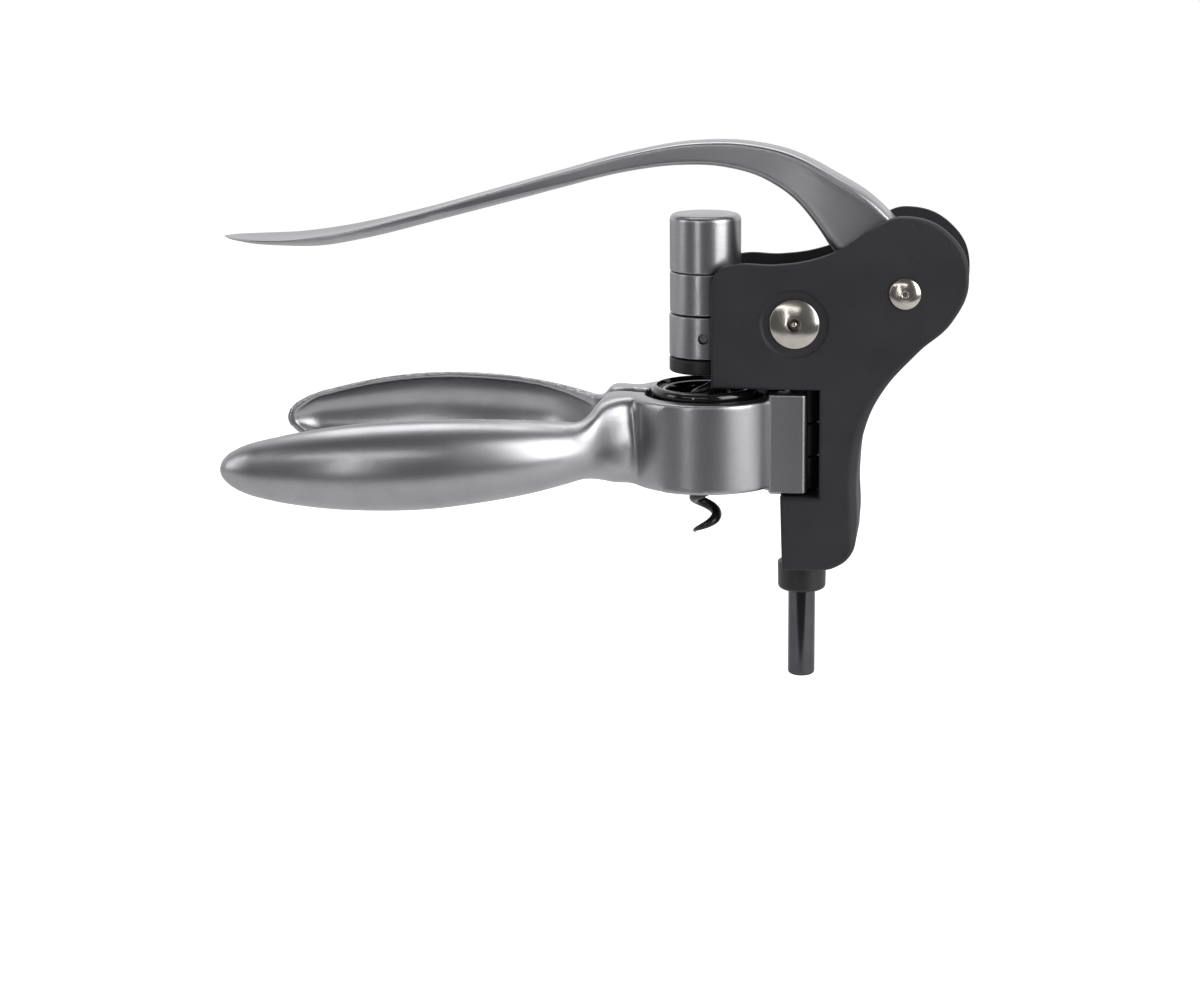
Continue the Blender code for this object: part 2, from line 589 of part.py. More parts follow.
def rack_bar():
    """Return the rack, with straight-flanked teeth towards the lever's gear."""
    pitch = math.pi * GEAR_MODULE
    slope = math.tan(PRESSURE_ANGLE)
    half_tooth = (pitch / 2 - BACKLASH) / 2
    tip_x = RACK_PITCH_X + ADDENDUM
    outline = [(RACK_BACK_X, RACK_LOW_Z, False), (RACK_ROOT_X, RACK_LOW_Z, False)]
    first = math.ceil((RACK_LOW_Z + pitch / 2 - AXLE_Z) / pitch - 0.5)
    last = math.floor((RACK_TOP_Z - pitch / 2 - AXLE_Z) / pitch - 0.5)
    for index in range(first, last + 1):
        centre = AXLE_Z + (index + 0.5) * pitch
        root_half = half_tooth + slope * DEDENDUM
        tip_half = half_tooth - slope * ADDENDUM
        outline += [(RACK_ROOT_X, centre - root_half, False), (tip_x, centre - tip_half, False),
                    (tip_x, centre + tip_half, False), (RACK_ROOT_X, centre + root_half, False)]
    outline += [(RACK_ROOT_X, RACK_TOP_Z, False), (RACK_BACK_X, RACK_TOP_Z, False)]
    return outline_solid("rack_bar", outline, -RACK_HALF_WIDTH, RACK_HALF_WIDTH, STEEL, resolution=1)


def crosshead():
    """Return the bar that carries the stack, the guide rod and the rack."""
    bar = box("crosshead", (CROSSHEAD_FRONT_X, -CROSSHEAD_HALF_WIDTH, CROSSHEAD_LOW_Z),
              (RACK_BACK_X - GAP, CROSSHEAD_HALF_WIDTH, CROSSHEAD_TOP_Z), STEEL)
    hole = cylinder("crosshead_hole", ROD_RADIUS + RUNNING, (ROD_X, 0, CROSSHEAD_LOW_Z - MM),
                    (ROD_X, 0, CROSSHEAD_TOP_Z - MM))
    return boolean(bar, "DIFFERENCE", hole)


def guide_rod():
    """Return the rod that hangs from the crosshead through the column and the clamp's knuckles."""
    edge = 0.8 * MM
    top = CROSSHEAD_TOP_Z - MM - GAP
    profile = [(0.0, top), (ROD_RADIUS, top), (ROD_RADIUS, ROD_LOW_Z + edge),
               (ROD_RADIUS - edge, ROD_LOW_Z), (0.0, ROD_LOW_Z)]
    item = turned("guide_rod", profile, STEEL, steps=28)
    item.location = (ROD_X, 0, 0)
    return item


def carrier_housing():
    """Return the middle ring, bored for the spindle and slotted for the crosshead."""
    bore = SPINDLE_RADIUS + GAP
    pocket = HOUSING_TOP_Z - WASHER_THICKNESS - GAP
    edge = 0.35 * MM
    profile = [(STACK_RADIUS - edge, HOUSING_TOP_Z), (STACK_RADIUS, HOUSING_TOP_Z - edge),
               (STACK_RADIUS, HOUSING_LOW_Z + edge), (STACK_RADIUS - edge, HOUSING_LOW_Z),
               (bore, HOUSING_LOW_Z), (bore, pocket), (WASHER_RADIUS + GAP, pocket),
               (WASHER_RADIUS + GAP, HOUSING_TOP_Z)]
    housing = turned("carrier_housing", profile, NICKEL, closed=True)
    slot = box("carrier_housing_slot",
               (CROSSHEAD_FRONT_X - GAP, -CROSSHEAD_HALF_WIDTH - GAP, CROSSHEAD_LOW_Z - GAP),
               (2 * STACK_RADIUS, CROSSHEAD_HALF_WIDTH + GAP, HOUSING_TOP_Z + MM))
    return boolean(housing, "DIFFERENCE", slot)


def carrier_cap():
    """Return the tall cap with a rounded top edge, hollowed under for the spindle's head."""
    edge = 1.5 * MM
    pocket_radius = WASHER_RADIUS + GAP
    pocket_top = CAP_LOW_Z + SPINDLE_HEAD_HEIGHT + 2 * GAP
    arc = [(STACK_RADIUS - edge + edge * math.sin(angle), CAP_TOP_Z - edge + edge * math.cos(angle))
           for angle in (math.radians(30.0 * step) for step in range(4))]
    profile = [(0.0, CAP_TOP_Z)] + arc
    profile += [(STACK_RADIUS, CAP_LOW_Z + 0.35 * MM), (STACK_RADIUS - 0.35 * MM, CAP_LOW_Z),
                (pocket_radius, CAP_LOW_Z), (pocket_radius, pocket_top), (0.0, pocket_top)]
    return turned("carrier_cap", profile, NICKEL)


def thrust_washer():
    """Return the washer that the spindle's head bears on."""
    low = HOUSING_TOP_Z - WASHER_THICKNESS
    return ring("thrust_washer", SPINDLE_RADIUS + RUNNING, WASHER_RADIUS, low, low + WASHER_THICKNESS,
                BLACK, steps=36)


def worm_spindle():
    """Return the headed spindle that hangs the chuck from the carrier."""
    head_low = HOUSING_TOP_Z + GAP
    foot = CHUCK_TOP_Z - 3.5 * MM
    profile = [(0.0, head_low + SPINDLE_HEAD_HEIGHT), (SPINDLE_HEAD_RADIUS, head_low + SPINDLE_HEAD_HEIGHT),
               (SPINDLE_HEAD_RADIUS, head_low), (SPINDLE_RADIUS, head_low), (SPINDLE_RADIUS, foot),
               (0.0, foot)]
    return turned("worm_spindle", profile, STEEL, steps=36)


def worm_chuck():
    """Return the lower ring that holds the worm, drilled across for its set screw."""
    edge = 0.35 * MM
    shank = WORM_WIRE_RADIUS + RUNNING
    mouth = WORM_RADIUS + WORM_WIRE_RADIUS + GAP
    mouth_top = CHUCK_LOW_Z + 4.1 * MM
    socket = CHUCK_TOP_Z - 3.5 * MM - GAP
    profile = [(CHUCK_RADIUS - edge, CHUCK_TOP_Z), (CHUCK_RADIUS, CHUCK_TOP_Z - edge),
               (CHUCK_RADIUS, CHUCK_LOW_Z + edge), (CHUCK_RADIUS - edge, CHUCK_LOW_Z),
               (mouth, CHUCK_LOW_Z), (mouth, mouth_top), (shank, mouth_top), (shank, socket),
               (SPINDLE_RADIUS + RUNNING, socket), (SPINDLE_RADIUS + RUNNING, CHUCK_TOP_Z)]
    chuck = turned("worm_chuck", profile, NICKEL, closed=True)
    start, end = set_screw_line(0.0, 2 * CHUCK_RADIUS)
    return boolean(chuck, "DIFFERENCE", cylinder("worm_chuck_hole", SET_SCREW_RADIUS + RUNNING, start, end,
                                                 segments=24))


def set_screw_line(near_radius, far_radius):
    """Return two points on the set screw's axis at the given distances from the worm's axis."""
    height = CHUCK_LOW_Z + 5.7 * MM
    way = Vector((math.cos(SET_SCREW_ANGLE), math.sin(SET_SCREW_ANGLE), 0))
    lift = Vector((0, 0, height))
    return way * near_radius + lift, way * far_radius + lift


def set_screw():
    """Return the grub screw, sunk a little below the chuck's surface."""
    start, end = set_screw_line(WORM_WIRE_RADIUS + GAP, CHUCK_RADIUS - 1.2 * MM)
    return cylinder("set_screw", SET_SCREW_RADIUS, start, end, STEEL, segments=24)


def worm_path():
    """Return (x, y, z, scale) points down the worm: shank, run-out, helix and sharpened tip."""
    shank_top = CHUCK_TOP_Z - 4.2 * MM
    helix_top = CHUCK_LOW_Z + 0.9 * MM
    runout_top = helix_top + 2.6 * MM
    nut_gap_z = NUT_LOW_Z + NUT_HEIGHT / 2 + WORM_PITCH / 2
    steps_per_turn = 12
    points = [(0.0, 0.0, shank_top, 1.0), (0.0, 0.0, runout_top + MM, 1.0)]
    total = math.ceil((runout_top - WORM_TIP_Z) / WORM_PITCH * steps_per_turn)
    for step in range(total + 1):
        z = runout_top + (WORM_TIP_Z - runout_top) * step / total
        turn = 2 * math.pi * (z - nut_gap_z) / WORM_PITCH
        blend = min(1.0, max(0.0, (runout_top - z) / (runout_top - helix_top)))
        radius = WORM_RADIUS * blend * blend * (3 - 2 * blend)
        scale = min(1.0, 0.12 + (z - WORM_TIP_Z) / (5.0 * MM))
        points.append((radius * math.cos(turn), radius * math.sin(turn), z, scale))
    return points


def worm():
    """Return the open helical wire."""
    curve = bpy.data.curves.new("worm", "CURVE")
    curve.dimensions = "3D"
    curve.bevel_depth = WORM_WIRE_RADIUS
    curve.bevel_resolution = 2
    curve.use_fill_caps = True
    spline = curve.splines.new("POLY")
    path = worm_path()
    spline.points.add(len(path) - 1)
    for knot, (x, y, z, scale) in zip(spline.points, path):
        knot.co = (x, y, z, 1.0)
        knot.radius = scale
    curve.materials.append(COATING)
    item = bpy.data.objects.new("worm", curve)
    PARTS.objects.link(item)
    return item


def grip_station(fraction):
    """Return the grip's centre (x, y, z), half height and depth at a fraction of its length, in mm."""
    stations = [
        (0.00, -17.0, 9.0, -8.5, 8.0, 7.0), (0.07, -24.0, 12.5, -8.6, 7.9, 7.2),
        (0.16, -33.5, 19.0, -9.0, 8.3, 7.6), (0.26, -43.5, 24.5, -9.3, 9.9, 8.2),
        (0.41, -58.5, 30.5, -9.7, 11.5, 9.2), (0.53, -71.5, 33.8, -10.2, 12.2, 9.8),
        (0.66, -86.5, 35.8, -10.7, 11.9, 9.6), (0.79, -100.5, 36.2, -11.4, 10.6, 8.4),
        (0.90, -113.0, 35.6, -12.1, 8.1, 6.4), (0.97, -122.0, 34.8, -12.5, 4.8, 4.0),
        (1.00, -126.8, 34.2, -12.6, 1.0, 1.0),
    ]
    for first, second in zip(stations, stations[1:]):
        if fraction <= second[0]:
            share = (fraction - first[0]) / (second[0] - first[0])
            return [low + (high - low) * share for low, high in zip(first[1:], second[1:])]
    return list(stations[-1][1:])


def grip_section(side, fraction, inset, open_reach):
    """Return one D-shaped ring of the grip: a flat inner side and a rounded outer side."""
    x, y, z, half_height, depth = (value * MM for value in grip_station(fraction))
    ahead = grip_station(min(1.0, fraction + 0.02))
    behind = grip_station(max(0.0, fraction - 0.02))
    run = Vector((ahead[0] - behind[0], ahead[1] - behind[1])).normalized()
    outward = Vector((run.y, -run.x))
    if outward.y < 0:
        outward = -outward
    half_height = max(half_height - inset, 0.3 * MM)
    depth = max(depth - inset, 0.3 * MM)
    count = 11
    points = []
    for index in range(count):
        angle = -math.pi / 2 + math.pi * index / (count - 1)
        reach = depth * math.cos(angle) ** 0.8
        points.append((reach, half_height * math.sin(angle)))
    points += [(-open_reach, half_height), (-open_reach, -half_height)]
    return [(x + outward.x * reach, side * (y + outward.y * reach), z + lift) for reach, lift in points]


def clamp_arm(name, side):
    """Return one clamp arm: half a collar, a hinge cheek with knuckles, and a hollow grip."""
    arm = ring(name, COLLAR_BORE, COLLAR_RADIUS, COLLAR_LOW_Z, COLLAR_TOP_Z, NICKEL, 0.6 * MM, steps=48)
    wide = 2 * BODY_WIDTH
    boolean(arm, "DIFFERENCE", side_box(name + "_front_cut", side, (-wide, MM), (-wide, FRONT_GAP / 2),
                                        (-wide, wide)))
    boolean(arm, "DIFFERENCE", side_box(name + "_back_cut", side, (0.0, wide), (-wide, TAIL_HALF_WIDTH + MM),
                                        (-wide, wide)))
    boolean(arm, "UNION", front_boss(name + "_boss", side))
    boolean(arm, "UNION", cheek_block(name + "_cheek", side))
    for index, (low, high) in enumerate(knuckle_spans(side)):
        boolean(arm, "UNION", cylinder("%s_knuckle_%d" % (name, index), KNUCKLE_RADIUS,
                                       (ROD_X, 0, low), (ROD_X, 0, high)))
        boolean(arm, "UNION", side_box("%s_web_%d" % (name, index), side,
                                       (ROD_X - KNUCKLE_RADIUS + 0.4 * MM, CHEEK_BACK_X - 0.5 * MM),
                                       (0.2 * MM, KNUCKLE_RADIUS + 2 * MM), (low + 0.05 * MM, high - 0.05 * MM)))
    boolean(arm, "DIFFERENCE", cylinder(name + "_bore", KNUCKLE_BORE, (ROD_X, 0, -wide), (ROD_X, 0, wide)))
    steps = 18
    fractions = [step / steps for step in range(steps + 1)]
    boolean(arm, "UNION", loft(name + "_grip", [grip_section(side, f, 0.0, 0.0) for f in fractions]))
    hollow = [GRIP_HOLLOW_START + (0.965 - GRIP_HOLLOW_START) * step / steps for step in range(steps + 1)]
    boolean(arm, "DIFFERENCE", loft(name + "_hollow",
                                    [grip_section(side, f, GRIP_WALL, 6 * MM) for f in hollow]))
    return arm


def bevel_edges(item, chosen, width):
    """Bevel the edges of a mesh whose two ends both pass a test."""
    shape = bmesh.new()
    shape.from_mesh(item.data)
    edges = [edge for edge in shape.edges if all(chosen(vert.co) for vert in edge.verts)]
    bmesh.ops.bevel(shape, geom=edges, offset=width, segments=1, affect="EDGES")
    shape.to_mesh(item.data)
    shape.free()


def front_boss(name, side):
    """Return the block at the collar's front end, where the grip's wrist leaves it."""
    boss = side_box(name, side, (BOSS_FRONT_X, -COLLAR_BORE - 0.4 * MM), (FRONT_GAP / 2, BOSS_OUTER_Y),
                    (COLLAR_LOW_Z + 0.4 * MM, COLLAR_TOP_Z - 0.4 * MM))
    bevel_edges(boss, lambda place: place.x < BOSS_FRONT_X + 0.1 * MM, BOSS_CHAMFER)
    return boss


def cheek_block(name, side):
    """Return the hinge cheek, chamfered so that it clears the body as the clamp opens."""
    inner = KNUCKLE_RADIUS + GAP
    cheek = side_box(name, side, (CHEEK_FRONT_X, CHEEK_BACK_X), (inner, CHEEK_OUTER_Y),
                     (CHEEK_LOW_Z, CHEEK_TOP_Z))
    outer = side * CHEEK_OUTER_Y
    bevel_edges(cheek, lambda place: place.x > CHEEK_BACK_X - 0.1 * MM and abs(place.y - outer) < 0.1 * MM,
                CHEEK_CHAMFER)
    return cheek


def knuckle_spans(side):
    """Return the heights of one arm's knuckles: top and bottom near, middle far."""
    third = CHEEK_HEIGHT / 3
    low = CHEEK_LOW_Z
    if side < 0:
        return [(low, low + third - GAP / 2), (low + 2 * third + GAP / 2, CHEEK_TOP_Z)]
    return [(low + third + GAP / 2, low + 2 * third - GAP / 2)]


def clamp_liner(name, side):
    """Return the rubber half-ring that grips the bottle's neck."""
    outer = COLLAR_BORE - GAP
    liner = ring(name, outer - LINER_WALL, outer, COLLAR_LOW_Z + 2.0 * MM, -1.0 * MM, RUBBER, 0.0, steps=48)
    wide = 2 * BODY_WIDTH
    boolean(liner, "DIFFERENCE", side_box(name + "_front_cut", side, (-wide, MM),
                                          (-wide, FRONT_GAP / 2 + 0.5 * MM), (-wide, wide)))
    return boolean(liner, "DIFFERENCE", side_box(name + "_back_cut", side, (0.0, wide),
                                                 (-wide, TAIL_HALF_WIDTH + 1.5 * MM), (-wide, wide)))


def pivot(name, place):
    """Return an empty on a joint's axis."""
    item = bpy.data.objects.new(name, None)
    item.location = place
    PARTS.objects.link(item)
    return item


def attach(items, parent):
    """Parent pieces to an empty without moving them."""
    for item in items:
        item.parent = parent
        item.location = item.location - parent.location


def build():
    """Model every piece and group the moving ones on their joints' axes."""
    for name, side in SIDES.items():
        body_shell("shell_" + name, side)
        guide_screw("guide_screw_" + name, side)
        guide_block("guide_block_" + name, side)
        axle_cap("axle_cap_" + name, side)
    column_bush()
    lever_axle()
    worm_nut()
    nut_bracket()
    mouth_guide()
    lever = [lever_arm(), lever_gear()]
    for place, label in zip(gear_pin_places(), ("upper", "lower")):
        lever.append(gear_pin("gear_pin_" + label, place))
    attach(lever, pivot("lever_pivot", (AXLE_X, 0, AXLE_Z)))
    attach([crosshead(), rack_bar(), guide_rod(), carrier_housing(), carrier_cap(), thrust_washer()],
           pivot("carrier_slide", (0, 0, CROSSHEAD_LOW_Z)))
    attach([worm_chuck(), worm_spindle(), set_screw(), worm()], pivot("worm_turn", (0, 0, CHUCK_LOW_Z)))
    for name, side in SIDES.items():
        attach([clamp_arm("clamp_arm_" + name, side), clamp_liner("clamp_liner_" + name, side)],
               pivot("clamp_hinge_" + name, (ROD_X, 0, 0)))


build()
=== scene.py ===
"""Visual model of a lever corkscrew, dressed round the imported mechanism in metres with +Z up."""
import logging
import math
from collections.abc import Callable, Iterable, Sequence
from dataclasses import dataclass
from enum import Enum
from typing import Any

import bmesh
import bpy
from mathutils import Matrix, Vector


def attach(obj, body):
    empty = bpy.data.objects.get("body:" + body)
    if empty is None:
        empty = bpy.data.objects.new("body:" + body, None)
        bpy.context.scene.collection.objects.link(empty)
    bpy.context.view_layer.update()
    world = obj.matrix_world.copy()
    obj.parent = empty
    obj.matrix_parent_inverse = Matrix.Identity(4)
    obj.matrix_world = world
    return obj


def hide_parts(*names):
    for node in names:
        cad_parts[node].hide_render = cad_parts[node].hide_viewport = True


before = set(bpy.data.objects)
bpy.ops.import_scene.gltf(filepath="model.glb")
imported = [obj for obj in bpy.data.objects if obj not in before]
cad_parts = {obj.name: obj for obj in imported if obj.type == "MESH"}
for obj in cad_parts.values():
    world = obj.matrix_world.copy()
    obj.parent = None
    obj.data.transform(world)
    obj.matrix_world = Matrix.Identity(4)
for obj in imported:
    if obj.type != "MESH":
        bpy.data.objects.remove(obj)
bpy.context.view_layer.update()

MM = 0.001
ROD_X = 26.8 * MM                   # where the guide rod and the clamp's hinge stand
AXLE = (54.6 * MM, 34.3 * MM)       # the X and Z of the lever's axle
GUIDE_SCREW = (25.2 * MM, 25.6 * MM)  # the X and Z of the guide screws
WELD = 0.5e-6                       # how close two points of a turned part are before they are one
OUTLINE_WELD = 2e-6                 # the same for the points of a smooth outline
ON_FACE = 1e-5                      # how far a point may be off a plane and still lie on it
UPRIGHT = 1e-4                      # the lean below which the worm's wire counts as straight up
SLOW_TONE_MM = 14.0                 # size of the slow tone change in moulded parts
SPECK_PITCH_MM = 1.1                # spacing of the cells that may hold a speck of dust
METAL_SPAN = {"From Min": 0.36, "From Max": 0.64}   # the part of the noise spread over a metal's tones
TONE_SPAN = {"From Min": 0.35, "From Max": 0.65}    # the same for a moulded part's colour
GLOSS_SPAN = {"From Min": 0.3, "From Max": 0.7}     # the same for a moulded part's roughness
SPECK_SPAN = {"From Min": 0.17, "From Max": 0.05}   # a speck's rim and heart, as shares of its cell
LOG = logging.getLogger("lever_corkscrew")
Profile = Sequence[tuple[float, float, float]]
Outline = Sequence[tuple[float, float, bool]]


class Side(Enum):
    """The two halves of the tool, as the sign of Y that each lies on."""

    NEAR = -1
    FAR = 1

    @property
    def label(self) -> str:
        """Return the word that ends the half's piece names."""
        return self.name.lower()


class Grain(Enum):
    """How a metal's surface was worked, as the stretch of its grain along X, Y and Z."""

    BLASTED = (1.0, 1.0, 1.0)
    TURNED = (0.06, 0.06, 1.0)
    DRAWN = (1.0, 1.0, 0.04)


# --- shader helpers ---------------------------------------------------------------------------------

def linear(colour: str) -> tuple[float, float, float, float]:
    """Turn an sRGB hex colour into a linear RGBA value.

    Args:
        colour: Six hex digits after a hash.

    Returns:
        The linear colour with full alpha.
    """
    parts = [int(colour[index:index + 2], 16) / 255 for index in (1, 3, 5)]
    toned = [part / 12.92 if part <= 0.04045 else ((part + 0.055) / 1.055) ** 2.4 for part in parts]
    return (*toned, 1.0)


def add_node(tree: bpy.types.NodeTree, kind: str, settings: dict[str, Any] | None = None,
             inputs: dict[Any, Any] | None = None) -> bpy.types.Node:
    """Add a node, set its properties, and fill its sockets with values or links.

    Args:
        tree: The node tree.
        kind: The node's type.
        settings: Properties by name.
        inputs: Values, or output sockets to link from, by the input's name or index.

    Returns:
        The new node.
    """
    node = tree.nodes.new(kind)
    for key, value in (settings or {}).items():
        setattr(node, key, value)
    for key, value in (inputs or {}).items():
        if isinstance(value, bpy.types.NodeSocket):
            tree.links.new(value, node.inputs[key])
        else:
            node.inputs[key].default_value = value
    return node


def blank_material(name: str) -> tuple[bpy.types.Material, bpy.types.NodeTree, bpy.types.Node]:
    """Start a new node material.

    Args:
        name: The material's name.

    Returns:
        The material, its tree and its Principled shader.
    """
    material = bpy.data.materials.new(name)
    material.use_nodes = True
    tree = material.node_tree
    return material, tree, tree.nodes["Principled BSDF"]


# --- finishes ---------------------------------------------------------------------------------------

@dataclass(frozen=True)
class MetalFinish:
    """A plated or bare metal: colour, gloss, grain and faint handling marks."""

    name: str
    colour: str
    shade: str
    roughness: float
    roughness_swing: float
    grain: Grain
    grain_mm: float
    grain_depth_mm: float
    blotch_mm: float = 9.0

    def material(self) -> bpy.types.Material:
        """Build the metal's material.

        Returns:
            The material, with grain in its bump and roughness and a soft tone change across it.
        """
        material, tree, shader = blank_material(self.name)
        place = add_node(tree, "ShaderNodeTexCoord").outputs["Object"]
        worked = add_node(tree, "ShaderNodeMapping", None, {"Vector": place, "Scale": self.grain.value})
        grain = add_node(tree, "ShaderNodeTexNoise", None,
                         {"Vector": worked.outputs["Vector"], "Scale": 1.0 / (self.grain_mm * MM),
                          "Detail": 3.0})
        blotch = add_node(tree, "ShaderNodeTexNoise", None,
                          {"Vector": place, "Scale": 1.0 / (self.blotch_mm * MM), "Detail": 3.0})
        grain_part = add_node(tree, "ShaderNodeMath", {"operation": "MULTIPLY"},
                              {0: grain.outputs["Fac"], 1: 0.5})
        mixed = add_node(tree, "ShaderNodeMath", {"operation": "MULTIPLY_ADD"},
                         {0: blotch.outputs["Fac"], 1: 0.5, 2: grain_part.outputs["Value"]})
        tone = add_node(tree, "ShaderNodeMapRange", None, {"Value": mixed.outputs["Value"], **METAL_SPAN})
        colour = add_node(tree, "ShaderNodeMix", {"data_type": "RGBA"},
                          {0: tone.outputs["Result"], 6: linear(self.shade), 7: linear(self.colour)})
        tree.links.new(colour.outputs[2], shader.inputs["Base Color"])
        gloss = add_node(tree, "ShaderNodeMapRange", None,
                         {"Value": mixed.outputs["Value"], **METAL_SPAN,
                          "To Min": self.roughness + self.roughness_swing,
                          "To Max": self.roughness - self.roughness_swing})
        tree.links.new(gloss.outputs["Result"], shader.inputs["Roughness"])
        shader.inputs["Metallic"].default_value = 1.0
        bump = add_node(tree, "ShaderNodeBump", None, {"Height": grain.outputs["Fac"], "Strength": 1.0,
                                                       "Distance": self.grain_depth_mm * MM})
        tree.links.new(bump.outputs["Normal"], shader.inputs["Normal"])
        return material


@dataclass(frozen=True)
class MouldedFinish:
    """A moulded plastic, rubber or coating: fine texture, faint dust and a slow, uneven change to a lighter
    tone.
    """

    name: str
    colour: str
    light: str
    roughness: float
    roughness_swing: float
    ior: float
    texture_mm: float
    texture_depth_mm: float
    speck: str = "#3a3a3c"
    speck_share: float = 0.02
    coat: float = 0.0
    coat_roughness: float = 0.04

    def material(self) -> bpy.types.Material:
        """Build the moulded material.

        Returns:
            The material, with its fine texture, slow tone change and sparse specks.
        """
        material, tree, shader = blank_material(self.name)
        place = add_node(tree, "ShaderNodeTexCoord").outputs["Object"]
        texture = add_node(tree, "ShaderNodeTexNoise", None,
                           {"Vector": place, "Scale": 1.0 / (self.texture_mm * MM), "Detail": 2.0})
        slow = add_node(tree, "ShaderNodeTexNoise", None,
                        {"Vector": place, "Scale": 1.0 / (SLOW_TONE_MM * MM), "Detail": 3.0})
        tone = add_node(tree, "ShaderNodeMapRange", None, {"Value": slow.outputs["Fac"], **TONE_SPAN})
        body = add_node(tree, "ShaderNodeMix", {"data_type": "RGBA"},
                        {0: tone.outputs["Result"], 6: linear(self.colour), 7: linear(self.light)})
        cells = add_node(tree, "ShaderNodeTexVoronoi", None,
                         {"Vector": place, "Scale": 1.0 / (SPECK_PITCH_MM * MM)})
        drawn = add_node(tree, "ShaderNodeSeparateColor", None, {"Color": cells.outputs["Color"]})
        kept = add_node(tree, "ShaderNodeMapRange", None,
                        {"Value": drawn.outputs["Red"], "From Min": 1.0 - self.speck_share, "From Max": 1.0})
        dot = add_node(tree, "ShaderNodeMapRange", None, {"Value": cells.outputs["Distance"], **SPECK_SPAN})
        speck = add_node(tree, "ShaderNodeMath", {"operation": "MULTIPLY"},
                         {0: kept.outputs["Result"], 1: dot.outputs["Result"]})
        colour = add_node(tree, "ShaderNodeMix", {"data_type": "RGBA"},
                          {0: speck.outputs["Value"], 6: body.outputs[2], 7: linear(self.speck)})
        tree.links.new(colour.outputs[2], shader.inputs["Base Color"])
        gloss = add_node(tree, "ShaderNodeMapRange", None,
                         {"Value": slow.outputs["Fac"], **GLOSS_SPAN,
                          "To Min": self.roughness - self.roughness_swing,
                          "To Max": self.roughness + self.roughness_swing})
        tree.links.new(gloss.outputs["Result"], shader.inputs["Roughness"])
        shader.inputs["IOR"].default_value = self.ior
        shader.inputs["Coat Weight"].default_value = self.coat
        shader.inputs["Coat Roughness"].default_value = self.coat_roughness
        bump = add_node(tree, "ShaderNodeBump", None, {"Height": texture.outputs["Fac"], "Strength": 1.0,
                                                       "Distance": self.texture_depth_mm * MM})
        tree.links.new(bump.outputs["Normal"], shader.inputs["Normal"])
        return material


# Zinc casting, bead blasted and nickel plated: an even pewter grey with a fine sparkle of grain.
# The real grain is near 0.08 mm, and it is drawn at 0.36 mm so that it shows.
CAST_NICKEL = MetalFinish("satin_nickel_on_blasted_zinc", "#a6a6a9", "#9b9b9e", 0.32, 0.02, Grain.BLASTED,
                          0.36, 0.022)
# The same plate over turned rings: lathe lines run round the ring, which keeps the highlight upright.
TURNED_NICKEL = MetalFinish("satin_nickel_on_turned_steel", "#a8a8ab", "#9d9da1", 0.30, 0.02, Grain.TURNED,
                            0.30, 0.012)
# Polished nickel plate over steel: mirror bright with faint polishing haze and a warm cast.
BRIGHT_NICKEL = MetalFinish("polished_nickel_on_steel", "#bdb8b1", "#aca7a0", 0.19, 0.04, Grain.BLASTED,
                            0.35, 0.003, 3.0)
# Ground and polished rod: dark, mirror like, with long fine scratches from sliding in its bush.
POLISHED_STEEL = MetalFinish("ground_polished_steel", "#56565b", "#4c4c51", 0.10, 0.02, Grain.DRAWN,
                             0.30, 0.002, 6.0)
# Milled and tumbled mild steel for the hidden works: grey, half dull, with an uneven oily tone.
PLAIN_STEEL = MetalFinish("milled_mild_steel", "#8f8f92", "#737376", 0.33, 0.08, Grain.BLASTED,
                          0.40, 0.008, 5.0)
# ABS shells under soft-touch paint: charcoal with no clear highlight, an eggshell nap and caught dust.
SOFT_TOUCH = MouldedFinish("soft_touch_paint_on_moulded_abs", "#252529", "#2a2a2e", 0.55, 0.04, 1.38,
                           0.22, 0.006, "#55555a", 0.04)
# Glass-filled nylon, spark-eroded in the mould: dull black with a fine even grit.
BLACK_NYLON = MouldedFinish("moulded_black_nylon", "#121213", "#18181a", 0.40, 0.05, 1.46, 0.30, 0.008)
# Injection-moulded acetal in a polished tool: wet-looking black with a crisp reflection.
GLOSS_ACETAL = MouldedFinish("polished_black_acetal", "#0b0b0c", "#101011", 0.09, 0.02, 1.48, 1.5, 0.001,
                             coat=0.4)
# Non-stick coating sprayed on spring steel: low sheen near-black with a faint orange-peel surface.
NON_STICK = MouldedFinish("non_stick_coating_on_steel", "#161617", "#202022", 0.30, 0.06, 1.40, 0.45, 0.006)
# Nitrile rubber from a matt mould: flat black with a soft dusty bloom.
RUBBER = MouldedFinish("moulded_nitrile_rubber", "#1a1a1b", "#252526", 0.78, 0.06, 1.52, 0.35, 0.012,
                       "#3c3c3e", 0.10)


# --- shaping helpers --------------------------------------------------------------------------------

def add_item(name: str, data: bpy.types.ID) -> bpy.types.Object:
    """Return a new object in the scene that holds a mesh, curve, lamp or camera.

    Args:
        name: The object's name.
        data: The mesh, curve, lamp or camera.

    Returns:
        The object.
    """
    item = bpy.data.objects.new(name, data)
    bpy.context.scene.collection.objects.link(item)
    return item


def ramp(value: float, start: float, run: float) -> float:
    """Return how far a value is along a run, from 0 at its start to 1 at its end and past it."""
    return min(1.0, max(0.0, (value - start) / run))


def round_off(shape: bmesh.types.BMesh, geom: Sequence[Any], offset: float, segments: int,
              affect: str = "EDGES") -> None:
    """Round some edges or corners of a shape.

    Args:
        shape: The shape.
        geom: Its edges or corners.
        offset: The size of the rounding.
        segments: How many faces across it.
        affect: Whether edges or vertices are rounded.
    """
    bmesh.ops.bevel(shape, geom=geom, offset=offset, offset_type="OFFSET", segments=segments, profile=0.5,
                    affect=affect, material=-1)


